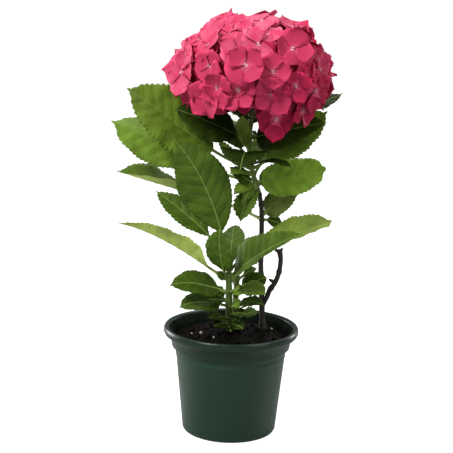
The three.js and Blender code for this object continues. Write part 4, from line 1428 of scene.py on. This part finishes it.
class HYDRANGEA_OT_bloom(bpy.types.Operator):
    """Set the florets over the dome and carry each on its pedicel"""
    bl_idname = "hydrangea.bloom"
    bl_label = "Bloom"

    def execute(self, context):
        settings = context.scene.hydrangea_bloom
        radius = settings.floret_radius / MM
        materials = [sepal_material(*look) for look in (
            ("rose sepals", settings.rose, tinted(settings.rose, 0.82)),
            ("crimson sepals", settings.crimson, tinted(settings.crimson, 0.8)),
            ("blush sepals", settings.blush, settings.rose),
            ("pale throats", (0.66, 0.1, 0.185), settings.rose),
            ("floret eyes", settings.eye, (0.8, 0.45, 0.5)),
            ("floret buds", (0.75, 0.6, 0.5), (0.8, 0.4, 0.45)),
            ("shaded sepals", (0.38, 0.012, 0.055), (0.44, 0.018, 0.066)))]
        rose, crimson, blush, throats, eyes, buds, deep = range(len(materials))
        graph = context.evaluated_depsgraph_get()
        leaves = [
            BVHTree.FromObject(piece, graph) for piece in context.scene.objects
            if piece.name.endswith("_blade")]
        outer, inner = bloom_florets(settings.inner_florets)
        carried = []
        for name, group, start in (("bloom_outer", outer, 0), ("bloom_inner", inner, INNER_DRAWS)):
            bm = bmesh.new()
            for number, floret in enumerate(group, start):
                direction = floret[0]
                # Inner florets are painted shade: crimson, and rose only at the left and top, where the
                # light reaches in.
                if name == "bloom_inner":
                    main = rose if direction.x < 0 and direction.z > -0.2 else crimson
                    tones = (main, rose, blush, buds)
                else:
                    # Outer florets take blush, rose, crimson or the darkest tone by how far they face the
                    # light, with a random share: painted light and shade.
                    sunlit = direction.dot(SUNLIGHT) + 0.6 * (scatter(number + 33) - 0.5)
                    steps = ((blush, 0.55), (rose, -0.1), (crimson, -0.45), (deep, -math.inf))
                    main = next(tone for tone, least in steps if sunlit > least)
                    tones = (main, throats, eyes, buds)
                verts = add_floret(bm, floret, number, radius, tones)
                if touches(verts, leaves):
                    bmesh.ops.delete(bm, geom=verts, context="VERTS")
                else:
                    carried.append(floret)
            finish_piece(bm, name, materials, "bloom", ["flower_head"])
        self.add_stalks(carried)
        return {"FINISHED"}

    # A trunk from the head of the shoot to the crown of the bloom, and a stalk from there to each
    # floret that is carried
    def add_stalks(self, carried):
        bm = bmesh.new()
        for direction, share, *_ in carried:
            fork = BLOOM_CROWN.lerp(on_dome(direction, 0.5), 0.7)
            line = MidribLine(
                BLOOM_CROWN - Vector((0, 0, CROWN_DEPTH)), BLOOM_CROWN.lerp(fork, 0.5), fork,
                on_dome(direction, share))
            for vert in ringed_rod(bm, 5, 5):
                t = vert.co.z
                turned = UP.rotation_difference(line.tangent(t))
                thick = lerp(*STALK_RADII, t)
                vert.co = line.point(t) + turned @ Vector((vert.co.x * thick, vert.co.y * thick, 0))
        for vert in ringed_rod(bm, 12, 10):
            t = vert.co.z
            thick = lerp(*TRUNK_RADII, t ** 2)
            vert.co = SHOOT_HEAD.lerp(BLOOM_CROWN, t) + Vector((vert.co.x * thick, vert.co.y * thick, 0))
        material = shoot_material("bloom stalks", (0.3, 0.3, 0.12), (0.4, 0.16, 0.14))
        finish_piece(bm, "bloom_stalks", [material], "green_stem", ["flower_head"])


class HYDRANGEA_OT_stage(bpy.types.Operator):
    """Lay the floor, hang the soft lights and set up the camera"""
    bl_idname = "hydrangea.stage"
    bl_label = "Stage"

    def execute(self, context):
        settings = context.scene.hydrangea_stage
        scene = context.scene
        self.lay_floor(settings)
        self.light_world(scene)
        for name, (place, size, share) in LIGHTS.items():
            self.hang_light(name, place, size, share * settings.main_light)
        scene.view_settings.view_transform = "Standard"
        self.set_camera(scene, settings)
        return {"FINISHED"}

    def lay_floor(self, settings):
        bm = bmesh.new()
        bmesh.ops.create_grid(bm, x_segments=1, y_segments=1, size=FLOOR_HALF_BREADTH)
        material, tree, shader = new_material("pale floor")
        seen = add_node(tree, "ShaderNodeLightPath").outputs["Is Camera Ray"]
        feed(tree, shader, {
            "Base Color": settings.floor, "Roughness": 0.9, "Emission Color": (1, 1, 1),
            "Emission Strength": calculate(tree, "MULTIPLY", seen, 0.95)})
        place_mesh(bm, "floor", [material])

    def light_world(self, scene):
        world = bpy.data.worlds.new("soft studio")
        world.use_nodes = True
        tree = world.node_tree
        seen = add_node(tree, "ShaderNodeLightPath").outputs["Is Camera Ray"]
        feed(tree, tree.nodes["Background"], {
            "Color": (1, 1, 1), "Strength": fade(tree, seen, 0.0, 1.0, 0.27, 1.0)})
        scene.world = world

    def hang_light(self, name, place, size, power):
        light = bpy.data.lights.new(name, "AREA")
        light.energy = power
        light.shape = "DISK"
        light.size = size
        lamp = bpy.data.objects.new(name, light)
        lamp.location = place
        lamp.visible_camera = False
        aim = LIGHTS_AIM - Vector(place)
        lamp.rotation_euler = aim.to_track_quat("-Z", "Y").to_euler()
        bpy.context.scene.collection.objects.link(lamp)

    def set_camera(self, scene, settings):
        pitch, roll = math.radians(CAMERA_PITCH), math.radians(CAMERA_ROLL)
        forward = Vector((0, math.cos(pitch), -math.sin(pitch)))
        level_up = Vector((0, math.sin(pitch), math.cos(pitch)))
        right = Vector((1, 0, 0)) * math.cos(roll) + level_up * math.sin(roll)
        up = level_up * math.cos(roll) - Vector((1, 0, 0)) * math.sin(roll)
        camera = bpy.data.cameras.new("camera")
        camera.lens = settings.lens
        camera.sensor_width = SENSOR_WIDTH
        camera.clip_end = 200
        eye = bpy.data.objects.new("camera", camera)
        turn = Matrix((right, up, -forward)).transposed().to_4x4()
        eye.matrix_world = Matrix.Translation(CAMERA_PLACE) @ turn
        scene.collection.objects.link(eye)
        scene.camera = eye


class HYDRANGEA_PT_sidebar(bpy.types.Panel):
    bl_label = "Hydrangea"
    bl_idname = "HYDRANGEA_PT_sidebar"
    bl_space_type = "VIEW_3D"
    bl_region_type = "UI"
    bl_category = "Hydrangea"

    def draw(self, context):
        layout = self.layout
        for label, settings, operators in PANEL_ROWS:
            box = layout.box()
            box.label(text=label)
            group = getattr(context.scene, settings)
            for key in group.bl_rna.properties.keys():
                if key not in ("rna_type", "name"):
                    box.prop(group, key)
            for operator in operators:
                box.operator(operator)


PANEL_ROWS = [
    ("Pot and compost", "hydrangea_pot", ("hydrangea.pot", "hydrangea.compost")),
    ("Stems", "hydrangea_stems", ("hydrangea.stems",)),
    ("Leaves", "hydrangea_leaves", ("hydrangea.leaves",)),
    ("Bloom", "hydrangea_bloom", ("hydrangea.bloom",)),
    ("Stage", "hydrangea_stage", ("hydrangea.stage",)),
]

SETTINGS = {
    "hydrangea_pot": HydrangeaPotSettings,
    "hydrangea_stems": HydrangeaStemSettings,
    "hydrangea_leaves": HydrangeaLeafSettings,
    "hydrangea_bloom": HydrangeaBloomSettings,
    "hydrangea_stage": HydrangeaStageSettings,
}

CLASSES = [
    *SETTINGS.values(), HYDRANGEA_OT_pot, HYDRANGEA_OT_compost, HYDRANGEA_OT_stems,
    HYDRANGEA_OT_leaves, HYDRANGEA_OT_bloom, HYDRANGEA_OT_stage, HYDRANGEA_PT_sidebar,
]


def register():
    for kind in CLASSES:
        bpy.utils.register_class(kind)
    for name, kind in SETTINGS.items():
        setattr(bpy.types.Scene, name, PointerProperty(type=kind))


def unregister():
    for name in SETTINGS:
        delattr(bpy.types.Scene, name)
    for kind in reversed(CLASSES):
        bpy.utils.unregister_class(kind)


def main():
    register()
    bpy.ops.hydrangea.pot()
    bpy.ops.hydrangea.compost()
    bpy.ops.hydrangea.stems()
    bpy.ops.hydrangea.leaves()
    bpy.ops.hydrangea.bloom()
    bpy.ops.hydrangea.stage()
    bpy.context.view_layer.update()


if __name__ == "__main__":
    main()
